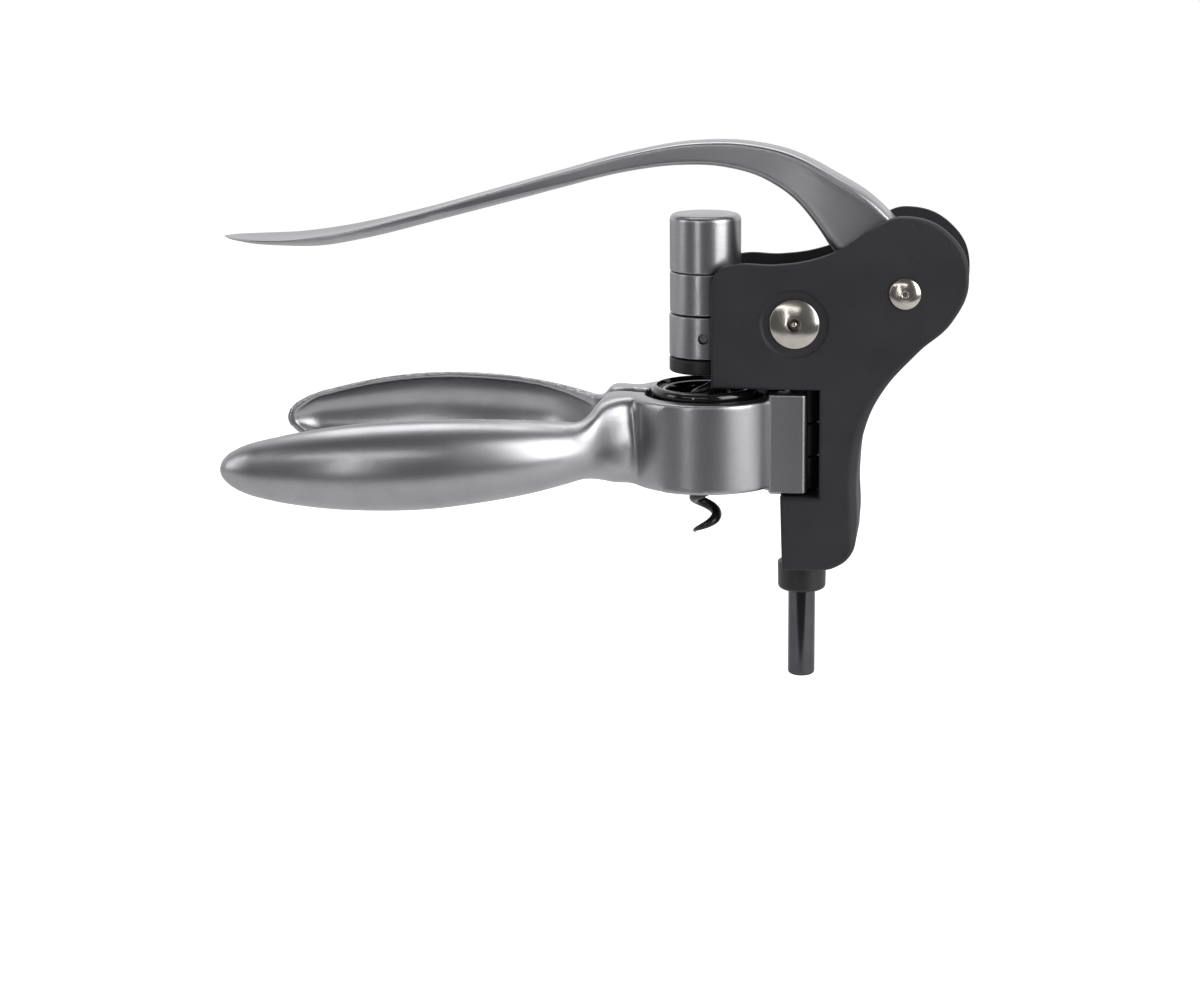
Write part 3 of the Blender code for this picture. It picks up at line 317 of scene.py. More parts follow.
def relax(shape: bmesh.types.BMesh, verts: Sequence[bmesh.types.BMVert], passes: int) -> None:
    """Smooth some points of a shape a number of times.

    Args:
        shape: The shape.
        verts: The points that may move.
        passes: How many times.
    """
    for _ in range(passes):
        bmesh.ops.smooth_vert(shape, verts=verts, factor=0.5, use_axis_x=True, use_axis_y=True,
                              use_axis_z=True)


class Blank:
    """A rough solid on its way to a finished piece."""

    def __init__(self, shape: bmesh.types.BMesh) -> None:
        """Take the bmesh over as a temporary object.

        Args:
            shape: The shape, which is used up.
        """
        mesh = bpy.data.meshes.new("blank")
        shape.to_mesh(mesh)
        shape.free()
        self.item = add_item("blank", mesh)

    def modify(self, kind: str, **settings: Any) -> "Blank":
        """Apply one modifier to the mesh.

        Args:
            kind: The modifier's type.
            settings: Its properties.

        Returns:
            This blank.
        """
        modifier = self.item.modifiers.new("step", kind)
        for key, value in settings.items():
            setattr(modifier, key, value)
        mesh = bpy.data.meshes.new_from_object(
            self.item.evaluated_get(bpy.context.evaluated_depsgraph_get()))
        self.item.modifiers.clear()
        old = self.item.data
        self.item.data = mesh
        bpy.data.meshes.remove(old)
        return self

    def boolean(self, operation: str, others: Iterable["Blank"]) -> "Blank":
        """Apply a Boolean with each of some blanks, which are used up.

        Args:
            operation: The Boolean's operation.
            others: The other blanks.

        Returns:
            This blank.
        """
        for other in others:
            self.modify("BOOLEAN", operation=operation, object=other.item, solver="EXACT")
            other.discard()
        return self

    def cut(self, *others: "Blank") -> "Blank":
        """Take other blanks away from this one."""
        return self.boolean("DIFFERENCE", others)

    def join(self, *others: "Blank") -> "Blank":
        """Add other blanks to this one."""
        return self.boolean("UNION", others)

    def edit(self, work: Callable[[bmesh.types.BMesh], None]) -> "Blank":
        """Run one bmesh function on the mesh.

        Args:
            work: The function, which changes the bmesh it is given.

        Returns:
            This blank.
        """
        shape = bmesh.new()
        shape.from_mesh(self.item.data)
        work(shape)
        shape.to_mesh(self.item.data)
        shape.free()
        return self

    def discard(self) -> None:
        """Remove the temporary object."""
        mesh = self.item.data
        bpy.data.objects.remove(self.item, do_unlink=True)
        bpy.data.meshes.remove(mesh)

    def deliver(self, name: str, material: bpy.types.Material, body: str, slot: str, nodes: Sequence[str],
                crease: float = 32.0) -> bpy.types.Object:
        """Turn the blank into a finished piece that stands for CAD nodes.

        Args:
            name: The piece's name.
            material: Its material.
            body: The body that it rides on.
            slot: The record's material slot; not used.
            nodes: The CAD nodes that it replaces.
            crease: The angle in degrees past which an edge stays sharp.

        Returns:
            The piece.
        """
        self.item.data.materials.clear()
        self.item.data.materials.append(material)
        self.item.data.shade_smooth()
        self.item.data.set_sharp_from_angle(angle=math.radians(crease))
        self.modify("WEIGHTED_NORMAL", keep_sharp=True, weight=60)
        piece = self.item
        piece.name = name
        piece.data.name = name
        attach(piece, body)
        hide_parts(*nodes)
        LOG.info("%s: %d faces, on %s", name, len(piece.data.polygons), body)
        return piece


def box(low: Sequence[float], high: Sequence[float], edge: float = 0.0) -> Blank:
    """Return a box between two corners, its edges rounded by edge.

    Args:
        low: One corner.
        high: The opposite corner.
        edge: The radius of the rounded edges.

    Returns:
        The blank.
    """
    shape = bmesh.new()
    bmesh.ops.create_cube(shape, size=1.0)
    size = Vector([abs(b - a) for a, b in zip(low, high)])
    bmesh.ops.scale(shape, vec=size, verts=shape.verts)
    bmesh.ops.translate(shape, vec=(Vector(low) + Vector(high)) / 2, verts=shape.verts)
    if edge:
        round_off(shape, shape.edges, edge, 2)
    return Blank(shape)


def rod(radius: float, low: Sequence[float], high: Sequence[float], segments: int = 64) -> Blank:
    """Return a cylinder between two points.

    Args:
        radius: The cylinder's radius.
        low: The centre of one end.
        high: The centre of the other.
        segments: How many faces round it.

    Returns:
        The blank.
    """
    start, end = Vector(low), Vector(high)
    shape = bmesh.new()
    bmesh.ops.create_cone(shape, cap_ends=True, segments=segments, radius1=radius, radius2=radius,
                          depth=(end - start).length)
    turn = Vector((0, 0, 1)).rotation_difference((end - start).normalized()).to_matrix()
    bmesh.ops.rotate(shape, matrix=turn, verts=shape.verts)
    bmesh.ops.translate(shape, vec=(start + end) / 2, verts=shape.verts)
    return Blank(shape)


def turned(profile: Profile, closed: bool = False, steps: int = 96, arc_steps: int = 4,
           place: Matrix | None = None) -> Blank:
    """Spin a profile round Z after rounding its corners.

    Args:
        profile: (radius, height, corner radius) points in metres.
        closed: Whether the last point joins the first.
        steps: How many faces round the part.
        arc_steps: How many faces across a rounded corner.
        place: Where the turned part goes.

    Returns:
        The blank.
    """
    shape = bmesh.new()
    verts = [shape.verts.new((radius, 0.0, height)) for radius, height, _ in profile]
    for first, second in zip(verts, verts[1:] + verts[:1] if closed else verts[1:]):
        shape.edges.new((first, second))
    for vert, (_, _, corner) in zip(verts, profile):
        if corner:
            round_off(shape, [vert], corner, arc_steps, "VERTICES")
    bmesh.ops.spin(shape, geom=shape.verts[:] + shape.edges[:], cent=(0, 0, 0), axis=(0, 0, 1),
                   angle=2 * math.pi, steps=steps, use_merge=True)
    bmesh.ops.remove_doubles(shape, verts=shape.verts, dist=WELD)
    bmesh.ops.dissolve_degenerate(shape, edges=shape.edges, dist=WELD)
    if place:
        bmesh.ops.transform(shape, matrix=place, verts=shape.verts)
    bmesh.ops.recalc_face_normals(shape, faces=shape.faces)
    return Blank(shape)


def lofted(stations: Sequence[Sequence[Vector]]) -> Blank:
    """Grow a closed skin through rings of equal length, ring by ring.

    Args:
        stations: The rings' points, in order along the part.

    Returns:
        The blank, capped at both ends.
    """
    shape = bmesh.new()
    circle = bmesh.ops.create_circle(shape, cap_ends=False, radius=MM, segments=len(stations[0]))
    loop = list(circle["verts"])
    for vert, point in zip(loop, stations[0]):
        vert.co = point
    for station in stations[1:]:
        edges = [shape.edges.get(pair) for pair in zip(loop, loop[1:] + loop[:1])]
        grown = bmesh.ops.extrude_edge_only(shape, edges=edges)["geom"]
        fresh = {part for part in grown if isinstance(part, bmesh.types.BMVert)}
        loop = [next(edge.other_vert(vert) for edge in vert.link_edges if edge.other_vert(vert) in fresh)
                for vert in loop]
        for vert, point in zip(loop, station):
            vert.co = point
    bmesh.ops.holes_fill(shape, edges=[edge for edge in shape.edges if edge.is_boundary], sides=0)
    bmesh.ops.recalc_face_normals(shape, faces=shape.faces)
    return Blank(shape)


def flat_outline(points: Outline, low_y: float, high_y: float, resolution: int = 12) -> bmesh.types.BMesh:
    """Fill a smooth outline in the XZ plane and extrude it along Y.

    Args:
        points: (x, z, smooth) points in metres.
        low_y: The lower Y of the plate.
        high_y: The higher Y of the plate.
        resolution: How many steps between two points.

    Returns:
        The closed shape.
    """
    curve = bpy.data.curves.new("outline", "CURVE")
    curve.dimensions = "2D"
    curve.fill_mode = "NONE"
    curve.resolution_u = resolution
    spline = curve.splines.new("BEZIER")
    spline.bezier_points.add(len(points) - 1)
    spline.use_cyclic_u = True
    for knot, (x, z, _) in zip(spline.bezier_points, points):
        knot.co = (x, z, 0.0)
    for knot, (_, _, smooth) in zip(spline.bezier_points, points):
        kind = "AUTO" if smooth else "VECTOR"
        knot.handle_left_type = kind
        knot.handle_right_type = kind
    guide = add_item("outline", curve)
    mesh = bpy.data.meshes.new_from_object(guide.evaluated_get(bpy.context.evaluated_depsgraph_get()))
    bpy.data.objects.remove(guide, do_unlink=True)
    shape = bmesh.new()
    shape.from_mesh(mesh)
    bpy.data.meshes.remove(mesh)
    bmesh.ops.remove_doubles(shape, verts=shape.verts, dist=OUTLINE_WELD)
    turn = Matrix(((1, 0, 0, 0), (0, 0, -1, low_y), (0, 1, 0, 0), (0, 0, 0, 1)))
    bmesh.ops.transform(shape, matrix=turn, verts=shape.verts)
    bmesh.ops.contextual_create(shape, geom=shape.edges)
    grown = bmesh.ops.extrude_face_region(shape, geom=shape.faces[:])["geom"]
    raised = [part for part in grown if isinstance(part, bmesh.types.BMVert)]
    bmesh.ops.translate(shape, vec=(0, high_y - low_y, 0), verts=raised)
    bmesh.ops.recalc_face_normals(shape, faces=shape.faces)
    return shape


def along(points: Sequence[tuple[float, float]], x: float) -> float:
    """Read a smooth curve through (x, value) points at x.

    Args:
        points: The points in order of x.
        x: Where to read it.

    Returns:
        The value of a smooth curve that passes through each point.
    """
    if x <= points[0][0]:
        return points[0][1]
    if x >= points[-1][0]:
        return points[-1][1]
    runs = [b[0] - a[0] for a, b in zip(points, points[1:])]
    slopes = [(b[1] - a[1]) / run for a, b, run in zip(points, points[1:], runs)]
    index = next(i for i, point in enumerate(points[1:]) if x <= point[0])

    def tangent(i: int) -> float:
        """Return the curve's slope at one point.

        Args:
            i: The point's index.

        Returns:
            The weighted mean of the slopes on its two sides.
        """
        if i == 0 or i == len(points) - 1:
            return slopes[0] if i == 0 else slopes[-1]
        return (slopes[i - 1] * runs[i] + slopes[i] * runs[i - 1]) / (runs[i - 1] + runs[i])

    run = runs[index]
    t = (x - points[index][0]) / run
    low, high = points[index][1], points[index + 1][1]
    return ((2 * t ** 3 - 3 * t ** 2 + 1) * low + (t ** 3 - 2 * t ** 2 + t) * run * tangent(index)
            + (3 * t ** 2 - 2 * t ** 3) * high + (t ** 3 - t ** 2) * run * tangent(index + 1))


def power(value: float, exponent: float) -> float:
    """Raise a value's size to a power and keep its sign."""
    return math.copysign(abs(value) ** exponent, value)


# --- the frame --------------------------------------------------------------------------------------

@dataclass
class BodyShells:
    """The two soft-touch shells: plates, floor, back rim and the column for the rod."""

    half_width: float = 13.0 * MM
    plate: float = 2.8 * MM
    parting: float = 0.15 * MM
    round_edge: float = 3.0 * MM
    front_x: float = 2.7 * MM
    notch_top: float = 7.6 * MM
    notch_foot: float = -22.0 * MM
    notch_wall: float = 32.0 * MM
    column_front: float = 21.5 * MM
    foot_z: float = -42.3 * MM
    floor_top: float = 10.6 * MM
    floor_front: float = 12.5 * MM
    rod_bore: float = 4.0 * MM
    sleeve_bore: float = 4.7 * MM
    sleeve_length: float = 10.3 * MM
    axle_bore: float = 3.15 * MM
    hump: float = 20.4 * MM
    screw_bore: float = 2.35 * MM
    recess: float = 9.1 * MM
    recess_depth: float = 0.6 * MM
    rack_cut: tuple[float, float, float, float] = (35.6 * MM, 42.1 * MM, 3.7 * MM, -7.0 * MM)
    rim_weight: float = 0.36
    rim_extra: float = 0.60

    def outline(self) -> list[tuple[float, float, bool]]:
        """Return the shell's side outline, from its front corner round the hump to the notch.

        Returns:
            The (x, z, smooth) points in metres.
        """
        (x, z), hump = AXLE, self.hump
        back = [(48.2, 6.3), (43.8, -4.5), (42.2, -17.0), (42.3, -31.0), (41.0, -37.5), (36.3, -41.4)]
        brow = [(4.6, 39.6), (9.0, 41.2), (20.0, 41.3), (30.4, 43.0), (38.4, 46.4), (46.0, 51.7)]
        return [
            (self.front_x, self.notch_top, False), (self.front_x, 36.2 * MM, False),
            *[(px * MM, pz * MM, True) for px, pz in brow],
            (x - 0.5 * MM, z + hump, True), (x + 0.60 * hump, z + 0.74 * hump, True),
            (x + 0.82 * hump, z + 4.0 * MM, True), (x + 0.62 * hump, z - 0.36 * hump, True),
            (x + 0.17 * hump, z - 0.79 * hump, True),
            *[(px * MM, pz * MM, True) for px, pz in back],
            (32.0 * MM, self.foot_z, False), (self.column_front + 0.6 * MM, self.foot_z, False),
            (self.column_front, self.notch_foot, False), (self.notch_wall, self.notch_foot, False),
            (self.notch_wall, self.notch_top, False),
        ]

    def weigh_edges(self, side: Side, shape: bmesh.types.BMesh) -> None:
        """Give the outer rim a wide rounding down the column's back and a tighter one elsewhere.

        Args:
            side: Which shell.
            shape: The plate.
        """
        weight = shape.edges.layers.float.new("bevel_weight_edge")
        for edge in shape.edges:
            if all(abs(vert.co.y - side.value * self.half_width) < ON_FACE for vert in edge.verts):
                middle = (edge.verts[0].co + edge.verts[1].co) / 2
                low = ramp(middle.z, 20 * MM, -25 * MM)
                behind = ramp(middle.x, 34 * MM, 6 * MM)
                above_foot = ramp(middle.z, -38 * MM, 9 * MM)
                edge[weight] = self.rim_weight + self.rim_extra * low * behind * above_foot

    def shell(self, side: Side, material: bpy.types.Material) -> bpy.types.Object:
        """Build one shell.

        Args:
            side: Which shell.
            material: The soft-touch paint.

        Returns:
            The piece.
        """
        ys = sorted((side.value * self.parting, side.value * self.half_width))
        plate = Blank(flat_outline(self.outline(), ys[0], ys[1]))
        plate.edit(lambda shape: self.weigh_edges(side, shape))
        plate.modify("BEVEL", width=self.round_edge, segments=5, limit_method="WEIGHT", affect="EDGES",
                     profile=0.5, use_clamp_overlap=False)
        inner = self.half_width - self.plate
        x, z = AXLE
        far = 2 * x
        cavity = Blank(flat_outline([(-far, self.floor_top, False), (x - 5.5 * MM, self.floor_top, False),
                                     (x - 2.5 * MM, self.floor_top + 3 * MM, False),
                                     (far, self.floor_top + 3 * MM, False), (far, far, False),
                                     (-far, far, False)], -inner, inner, 1))
        x0, x1, y1, z0 = self.rack_cut
        sx, sz = GUIDE_SCREW
        under = self.foot_z - MM
        seat = side.value * (self.half_width - self.recess_depth)
        out = side.value * (self.half_width + MM)
        plate.cut(
            cavity,
            box((-far, -inner, 0.0), (self.floor_front, inner, self.floor_top + MM)),
            box((x0, -y1, z0), (x1, y1, self.floor_top + MM)),
            rod(self.rod_bore, (ROD_X, 0, under), (ROD_X, 0, self.floor_top + MM)),
            rod(self.sleeve_bore, (ROD_X, 0, under), (ROD_X, 0, self.foot_z + self.sleeve_length)),
            rod(self.axle_bore, (x, -far, z), (x, far, z)),
            rod(self.screw_bore, (sx, -far, sz), (sx, far, sz)),
            self.recess_cutter(seat, out))
        return plate.deliver("shell_skin_" + side.label, material, "frame", "soft_touch_black",
                             ["shell_" + side.label], crease=40.0)

    def recess_cutter(self, seat: float, out: float) -> Blank:
        """Return the cutter for the shallow dish round the guide screw.

        Args:
            seat: The Y of the recess's floor.
            out: A Y outside the plate.

        Returns:
            The cutter, with a sloped and rounded wall.
        """
        depth = abs(out - seat)
        profile = [(0.0, 0.0, 0.0), (self.recess - 0.35 * MM, 0.0, 0.3 * MM),
                   (self.recess + 0.45 * MM, self.recess_depth + 0.25 * MM, 0.0),
                   (self.recess + 0.45 * MM, depth, 0.0), (0.0, depth, 0.0)]
        turn = Matrix.Rotation(math.radians(-90 if out > seat else 90), 4, "X")
        place = Matrix.Translation((GUIDE_SCREW[0], seat, GUIDE_SCREW[1])) @ turn
        return turned(profile, steps=128, place=place)

    def build(self) -> None:
        """Build and dress both shells."""
        material = SOFT_TOUCH.material()
        for side in Side:
            self.shell(side, material)


@dataclass
class Fasteners:
    """The guide screws and the staked axle caps, near and far."""

    seat: float = 12.55 * MM
    head: float = 6.8 * MM
    dome: float = 1.9 * MM
    shank: float = 2.2 * MM
    tip: float = 5.8 * MM
    cap_seat: float = 13.15 * MM
    cap: float = 4.35 * MM
    cap_dome: float = 1.4 * MM
    punch: tuple[float, float, float] = (1.15 * MM, 0.2 * MM, 0.17 * MM)
    punch_angles: tuple[float, float] = (35.0, 118.0)

    def stand(self, centre: tuple[float, float], side: Side) -> Matrix:
        """Return the turn that points a turned part's top out of one plate."""
        turn = Matrix.Rotation(-side.value * math.pi / 2, 4, "X")
        return Matrix.Translation((centre[0], 0, centre[1])) @ turn

    def guide_screw(self, side: Side, material: bpy.types.Material) -> None:
        """Build a domed screw head with a drilled centre and the ball end of its pin inside.

        Args:
            side: Which half of the tool it is on.
            material: The piece's material.
        """
        s, d = self.seat, self.dome
        profile = [(0.0, s + 1.65 * MM, 0.0), (0.6 * MM, s + 1.5 * MM, 0.3 * MM),
                   (1.0 * MM, s + 0.9 * MM, 0.2 * MM), (1.05 * MM, s - 1.6 * MM, 0.0),
                   (1.75 * MM, s - 1.6 * MM, 0.1 * MM), (1.85 * MM, s + d - 0.05 * MM, 0.12 * MM),
                   (3.6 * MM, s + 0.78 * d, 0.9 * MM), (5.4 * MM, s + 0.48 * d, 0.7 * MM),
                   (self.head - 0.15 * MM, s + 0.2 * d, 0.12 * MM), (self.head, s, 0.08 * MM),
                   (self.shank, s, 0.0), (self.shank, self.tip, 0.0), (0.0, self.tip, 0.0)]
        turned(profile, steps=128, place=self.stand(GUIDE_SCREW, side)).deliver(
            "guide_screw_head_" + side.label, material, "frame", "bright_nickel",
            ["guide_screw_" + side.label], crease=50.0)

    def axle_cap(self, side: Side, material: bpy.types.Material) -> None:
        """Build a domed cap with a peened ring and the cross left by the staking punch.

        Args:
            side: Which half of the tool it is on.
            material: The piece's material.
        """
        s, d, r = self.cap_seat, self.cap_dome, self.cap
        profile = [(0.0, s + 0.82 * d, 0.0), (0.8 * MM, s + 0.86 * d, 0.1 * MM),
                   (1.0 * MM, s + d, 0.1 * MM), (0.45 * r, s + 0.86 * d, 0.5 * MM),
                   (0.72 * r, s + 0.64 * d, 0.5 * MM), (0.95 * r, s + 0.30 * d, 0.12 * MM),
                   (r, s, 0.1 * MM), (0.0, s, 0.0)]
        cap = turned(profile, steps=96, place=self.stand(AXLE, side))
        centre = Matrix.Translation((AXLE[0], side.value * (s + d), AXLE[1]))
        for angle in self.punch_angles:
            bar = box([-half for half in self.punch], self.punch, 0.05 * MM)
            place = centre @ Matrix.Rotation(math.radians(angle), 4, "Y")
            bar.edit(lambda shape: bmesh.ops.transform(shape, matrix=place, verts=shape.verts))
            cap.cut(bar)
        cap.deliver("axle_cap_head_" + side.label, material, "frame", "bright_nickel",
                    ["axle_cap_" + side.label], crease=50.0)

    def build(self) -> None:
        """Build and dress the four heads."""
        material = BRIGHT_NICKEL.material()
        for side in Side:
            self.guide_screw(side, material)
            self.axle_cap(side, material)


@dataclass
class MouthWorks:
    """What sits over the bottle's mouth: the guide ring, the worm's nut and the column's bush."""

    guide_outer: float = 14.9 * MM
    guide_bore: float = 10.5 * MM
    guide_top: float = 6.5 * MM
    tail_half: float = 3.0 * MM
    tail_back: float = 20.2 * MM
    tail_top: float = 7.3 * MM
    nut_outer: float = 9.85 * MM
    nut_bore: float = 5.0 * MM
    nut_low: float = 10.5 * MM
    nut_top: float = 14.5 * MM
    worm_radius: float = 3.1 * MM
    lug_half: float = 1.2 * MM
    nut_tail_back: float = 18.7 * MM
    nut_tail_low: float = 10.9 * MM
    bush_bore: float = 3.9 * MM
    bush_sleeve: float = 4.55 * MM
    bush_radius: float = 6.7 * MM
    bush_seat: float = -42.6 * MM
    bush_foot: float = -50.3 * MM
    bush_top: float = -32.3 * MM

    def mouth_guide(self) -> None:
        """Build the glossy ring with its rolled outer rim, inner rim and the channel between them."""
        o, i, h = self.guide_outer, self.guide_bore, self.guide_top
        profile = [(o - 1.05 * MM, h, 0.45 * MM), (o, h - 0.9 * MM, 0.6 * MM), (o, 0.0, 0.3 * MM),
                   (i, 0.0, 0.3 * MM), (i, h - 2.6 * MM, 0.5 * MM), (i + 0.35 * MM, h - 1.1 * MM, 0.35 * MM),
                   (i + 1.35 * MM, h - 1.0 * MM, 0.4 * MM), (i + 1.9 * MM, h - 1.9 * MM, 0.5 * MM),
                   (i + 2.6 * MM, h - 1.7 * MM, 0.4 * MM), (o - 1.5 * MM, h - 0.1 * MM, 0.15 * MM)]
        ring = turned(profile, closed=True, steps=128)
        ring.join(box((o - 1.5 * MM, -self.tail_half, 0.5 * MM),
                      (self.tail_back, self.tail_half, self.tail_top), 0.35 * MM))
        ring.deliver("mouth_guide_ring", GLOSS_ACETAL.material(), "frame", "gloss_black", ["mouth_guide"])

    def worm_nut(self, material: bpy.types.Material) -> None:
        """Build the nut's ring, its lug in the worm's gap and its tail.

        Args:
            material: The piece's material.
        """
        profile = [(self.nut_bore, self.nut_top, 0.4 * MM), (self.nut_outer, self.nut_top, 0.5 * MM),
                   (self.nut_outer, self.nut_low, 0.5 * MM), (self.nut_bore, self.nut_low, 0.4 * MM)]
        ring = turned(profile, closed=True)
        middle = (self.nut_low + self.nut_top) / 2
        ring.join(box((self.worm_radius - self.lug_half, -self.lug_half, middle - self.lug_half),
                      (self.nut_bore + MM, self.lug_half, middle + self.lug_half)),
                  box((self.nut_outer - 2 * MM, -self.tail_half, self.nut_tail_low),
                      (self.nut_tail_back, self.tail_half, self.nut_top - 0.2 * MM), 0.3 * MM))
        ring.deliver("worm_nut_ring", material, "frame", "black_plastic", ["worm_nut"])

    def column_bush(self, material: bpy.types.Material) -> None:
        """Build the flanged bush with a rounded foot and a slightly bell-mouthed bore.

        Args:
            material: The piece's material.
        """
        profile = [(self.bush_sleeve, self.bush_top, 0.0), (self.bush_sleeve, self.bush_seat, 0.0),
                   (self.bush_radius, self.bush_seat, 0.3 * MM),
                   (self.bush_radius - 0.12 * MM, self.bush_foot, 1.1 * MM),
                   (self.bush_bore + 0.5 * MM, self.bush_foot, 0.0),
                   (self.bush_bore, self.bush_foot + 0.5 * MM, 0.0), (self.bush_bore, self.bush_top, 0.0)]
        turned(profile, closed=True, place=Matrix.Translation((ROD_X, 0, 0))).deliver(
            "column_bush_flange", material, "frame", "black_plastic", ["column_bush"])

    def build(self) -> None:
        """Build and dress the guide, the nut and the bush."""
        nylon = BLACK_NYLON.material()
        self.mouth_guide()
        self.worm_nut(nylon)
        self.column_bush(nylon)


# --- the moving works -------------------------------------------------------------------------------

@dataclass
class WormStack:
    """The satin rings over the bottle: the turning chuck, the carrier's housing and its tall cap."""

    chuck_radius: float = 9.85 * MM
    ring_radius: float = 9.7 * MM
    chuck: tuple[float, float] = (14.8 * MM, 26.3 * MM)
    housing: tuple[float, float] = (26.7 * MM, 37.9 * MM)
    cap: tuple[float, float] = (38.1 * MM, 53.6 * MM)
    seam_edge: float = 0.4 * MM
    spindle_bore: float = 3.15 * MM
    shank_bore: float = 1.55 * MM
    socket_bore: float = 4.8 * MM
    washer_bore: float = 6.3 * MM
    screw_hole: float = 1.3 * MM
    screw_angle: float = math.radians(-88.0)
    screw_height: float = 20.5 * MM
    crosshead: tuple[float, float, float] = (6.6 * MM, 4.8 * MM, 29.4 * MM)

    def chuck_ring(self, material: bpy.types.Material) -> None:
        """Build the lower ring, bored for the worm and drilled across for its screw.

        Args:
            material: The piece's material.
        """
        low, high = self.chuck
        edge, r = self.seam_edge, self.chuck_radius
        socket, seat = low + 4.1 * MM, high - 3.8 * MM
        profile = [(r, high, edge), (r, low, edge), (self.socket_bore, low, 0.3 * MM),
                   (self.socket_bore, socket, 0.0), (self.shank_bore, socket, 0.0),
                   (self.shank_bore, seat, 0.0), (self.spindle_bore, seat, 0.0),
                   (self.spindle_bore, high, 0.0)]
        way = Vector((math.cos(self.screw_angle), math.sin(self.screw_angle), 0))
        lift = Vector((0, 0, self.screw_height))
        hole = rod(self.screw_hole, lift, lift + way * 2 * r, 40)
        sink = turned([(0.0, -1.2 * MM, 0.0), (self.screw_hole, -0.35 * MM, 0.0),
                       (self.screw_hole + 0.35 * MM, 0.35 * MM, 0.0), (0.0, 0.35 * MM, 0.0)], steps=40,
                      place=Matrix.Translation(lift + way * (r - 0.02 * MM))
                      @ Vector((0, 0, 1)).rotation_difference(way).to_matrix().to_4x4())
        turned(profile, closed=True, steps=160).cut(hole, sink).deliver(
            "chuck_ring", material, "worm_group", "satin_nickel", ["worm_chuck"])

    def housing_ring(self, material: bpy.types.Material) -> None:
        """Build the middle ring with its washer seat and the slot for the crosshead.

        Args:
            material: The piece's material.
        """
        low, high = self.housing
        edge, r, pocket = self.seam_edge, self.ring_radius, high - 1.4 * MM
        profile = [(r, high, edge), (r, low, edge), (3.3 * MM, low, 0.0), (3.3 * MM, pocket, 0.0),
                   (self.washer_bore, pocket, 0.0), (self.washer_bore, high, 0.0)]
        front, half, foot = self.crosshead
        slot = box((front, -half, foot), (2 * r, half, high + MM))
        turned(profile, closed=True, steps=160).cut(slot).deliver(
            "housing_ring", material, "carrier", "satin_nickel", ["carrier_housing"])

    def cap_ring(self, material: bpy.types.Material) -> None:
        """Build the cap: a straight wall, a rounded shoulder and a faintly crowned top.

        Args:
            material: The piece's material.
        """
        low, high = self.cap
        r, pocket = self.ring_radius, low + 3.2 * MM
        profile = [(0.0, high, 0.0), (5.5 * MM, high - 0.03 * MM, 0.8 * MM), (r, high - 0.16 * MM, 1.5 * MM),
                   (r, low, self.seam_edge), (self.washer_bore, low, 0.2 * MM),
                   (self.washer_bore, pocket, 0.0), (0.0, pocket, 0.0)]
        turned(profile, steps=160, arc_steps=8).deliver("cap_ring", material, "carrier", "satin_nickel",
                                                        ["carrier_cap"])

    def build(self) -> None:
        """Build and dress the three rings."""
        material = TURNED_NICKEL.material()
        self.chuck_ring(material)
        self.housing_ring(material)
        self.cap_ring(material)


@dataclass
class Worm:
    """The coated open helix: shank, run-out, turns and sharpened point."""

    pitch: float = 9.5 * MM
    wire: float = 1.4 * MM
    radius: float = 3.1 * MM
    shank_top: float = 22.1 * MM
    runout_top: float = 18.3 * MM
    helix_top: float = 15.7 * MM
    tip_z: float = -35.5 * MM
    gap_z: float = 17.25 * MM
    steps_per_turn: int = 30
    around: int = 20
    point_share: float = 0.12
    point_length: float = 5.0 * MM

    def turn_at(self, z: float) -> float:
        """Return the helix's angle at a height."""
        return 2 * math.pi * (z - self.gap_z) / self.pitch

    def centre(self, z: float) -> Vector:
        """Return the wire's centre at a height.

        Args:
            z: The height.

        Returns:
            The point, which leaves the axis where the wire runs out into its turns.
        """
        blend = ramp(z, self.runout_top, self.helix_top - self.runout_top)
        reach = self.radius * blend * blend * (3 - 2 * blend)
        turn = self.turn_at(z)
        return Vector((reach * math.cos(turn), reach * math.sin(turn), z))

    def heights(self) -> list[float]:
        """Return the heights of the stations down the wire.

        Returns:
            The heights from the shank's top to the point, in metres.
        """
        total = math.ceil((self.runout_top - self.tip_z) / self.pitch * self.steps_per_turn)
        drop = (self.tip_z - self.runout_top) / total
        return [self.shank_top, self.shank_top - 2 * MM,
                *(self.runout_top + drop * index for index in range(total + 1))]

    def station(self, z: float) -> list[Vector]:
        """Return the ring of points round the wire at a height.

        Args:
            z: The height of the wire's centre.

        Returns:
            The ring, square to the wire and thinned towards the point.
        """
        step = 0.02 * MM
        along_wire = (self.centre(z - step) - self.centre(z + step)).normalized()
        middle, turn = self.centre(z), self.turn_at(z)
        out = Vector((1, 0, 0))
        if Vector((0, 0, 1)).cross(along_wire).length >= UPRIGHT:
            out = Vector((math.cos(turn), math.sin(turn), 0))
            out = (out - along_wire * out.dot(along_wire)).normalized()
        up = along_wire.cross(out)
        size = self.wire * min(1.0, self.point_share + (z - self.tip_z) / self.point_length)
        angles = [2 * math.pi * index / self.around for index in range(self.around)]
        return [middle + (out * math.cos(angle) + up * math.sin(angle)) * size for angle in angles]

    def build(self) -> None:
        """Build and dress the worm."""
        lofted([self.station(z) for z in self.heights()]).deliver(
            "worm_helix", NON_STICK.material(), "worm_group", "worm_coating", ["worm"], crease=60.0)


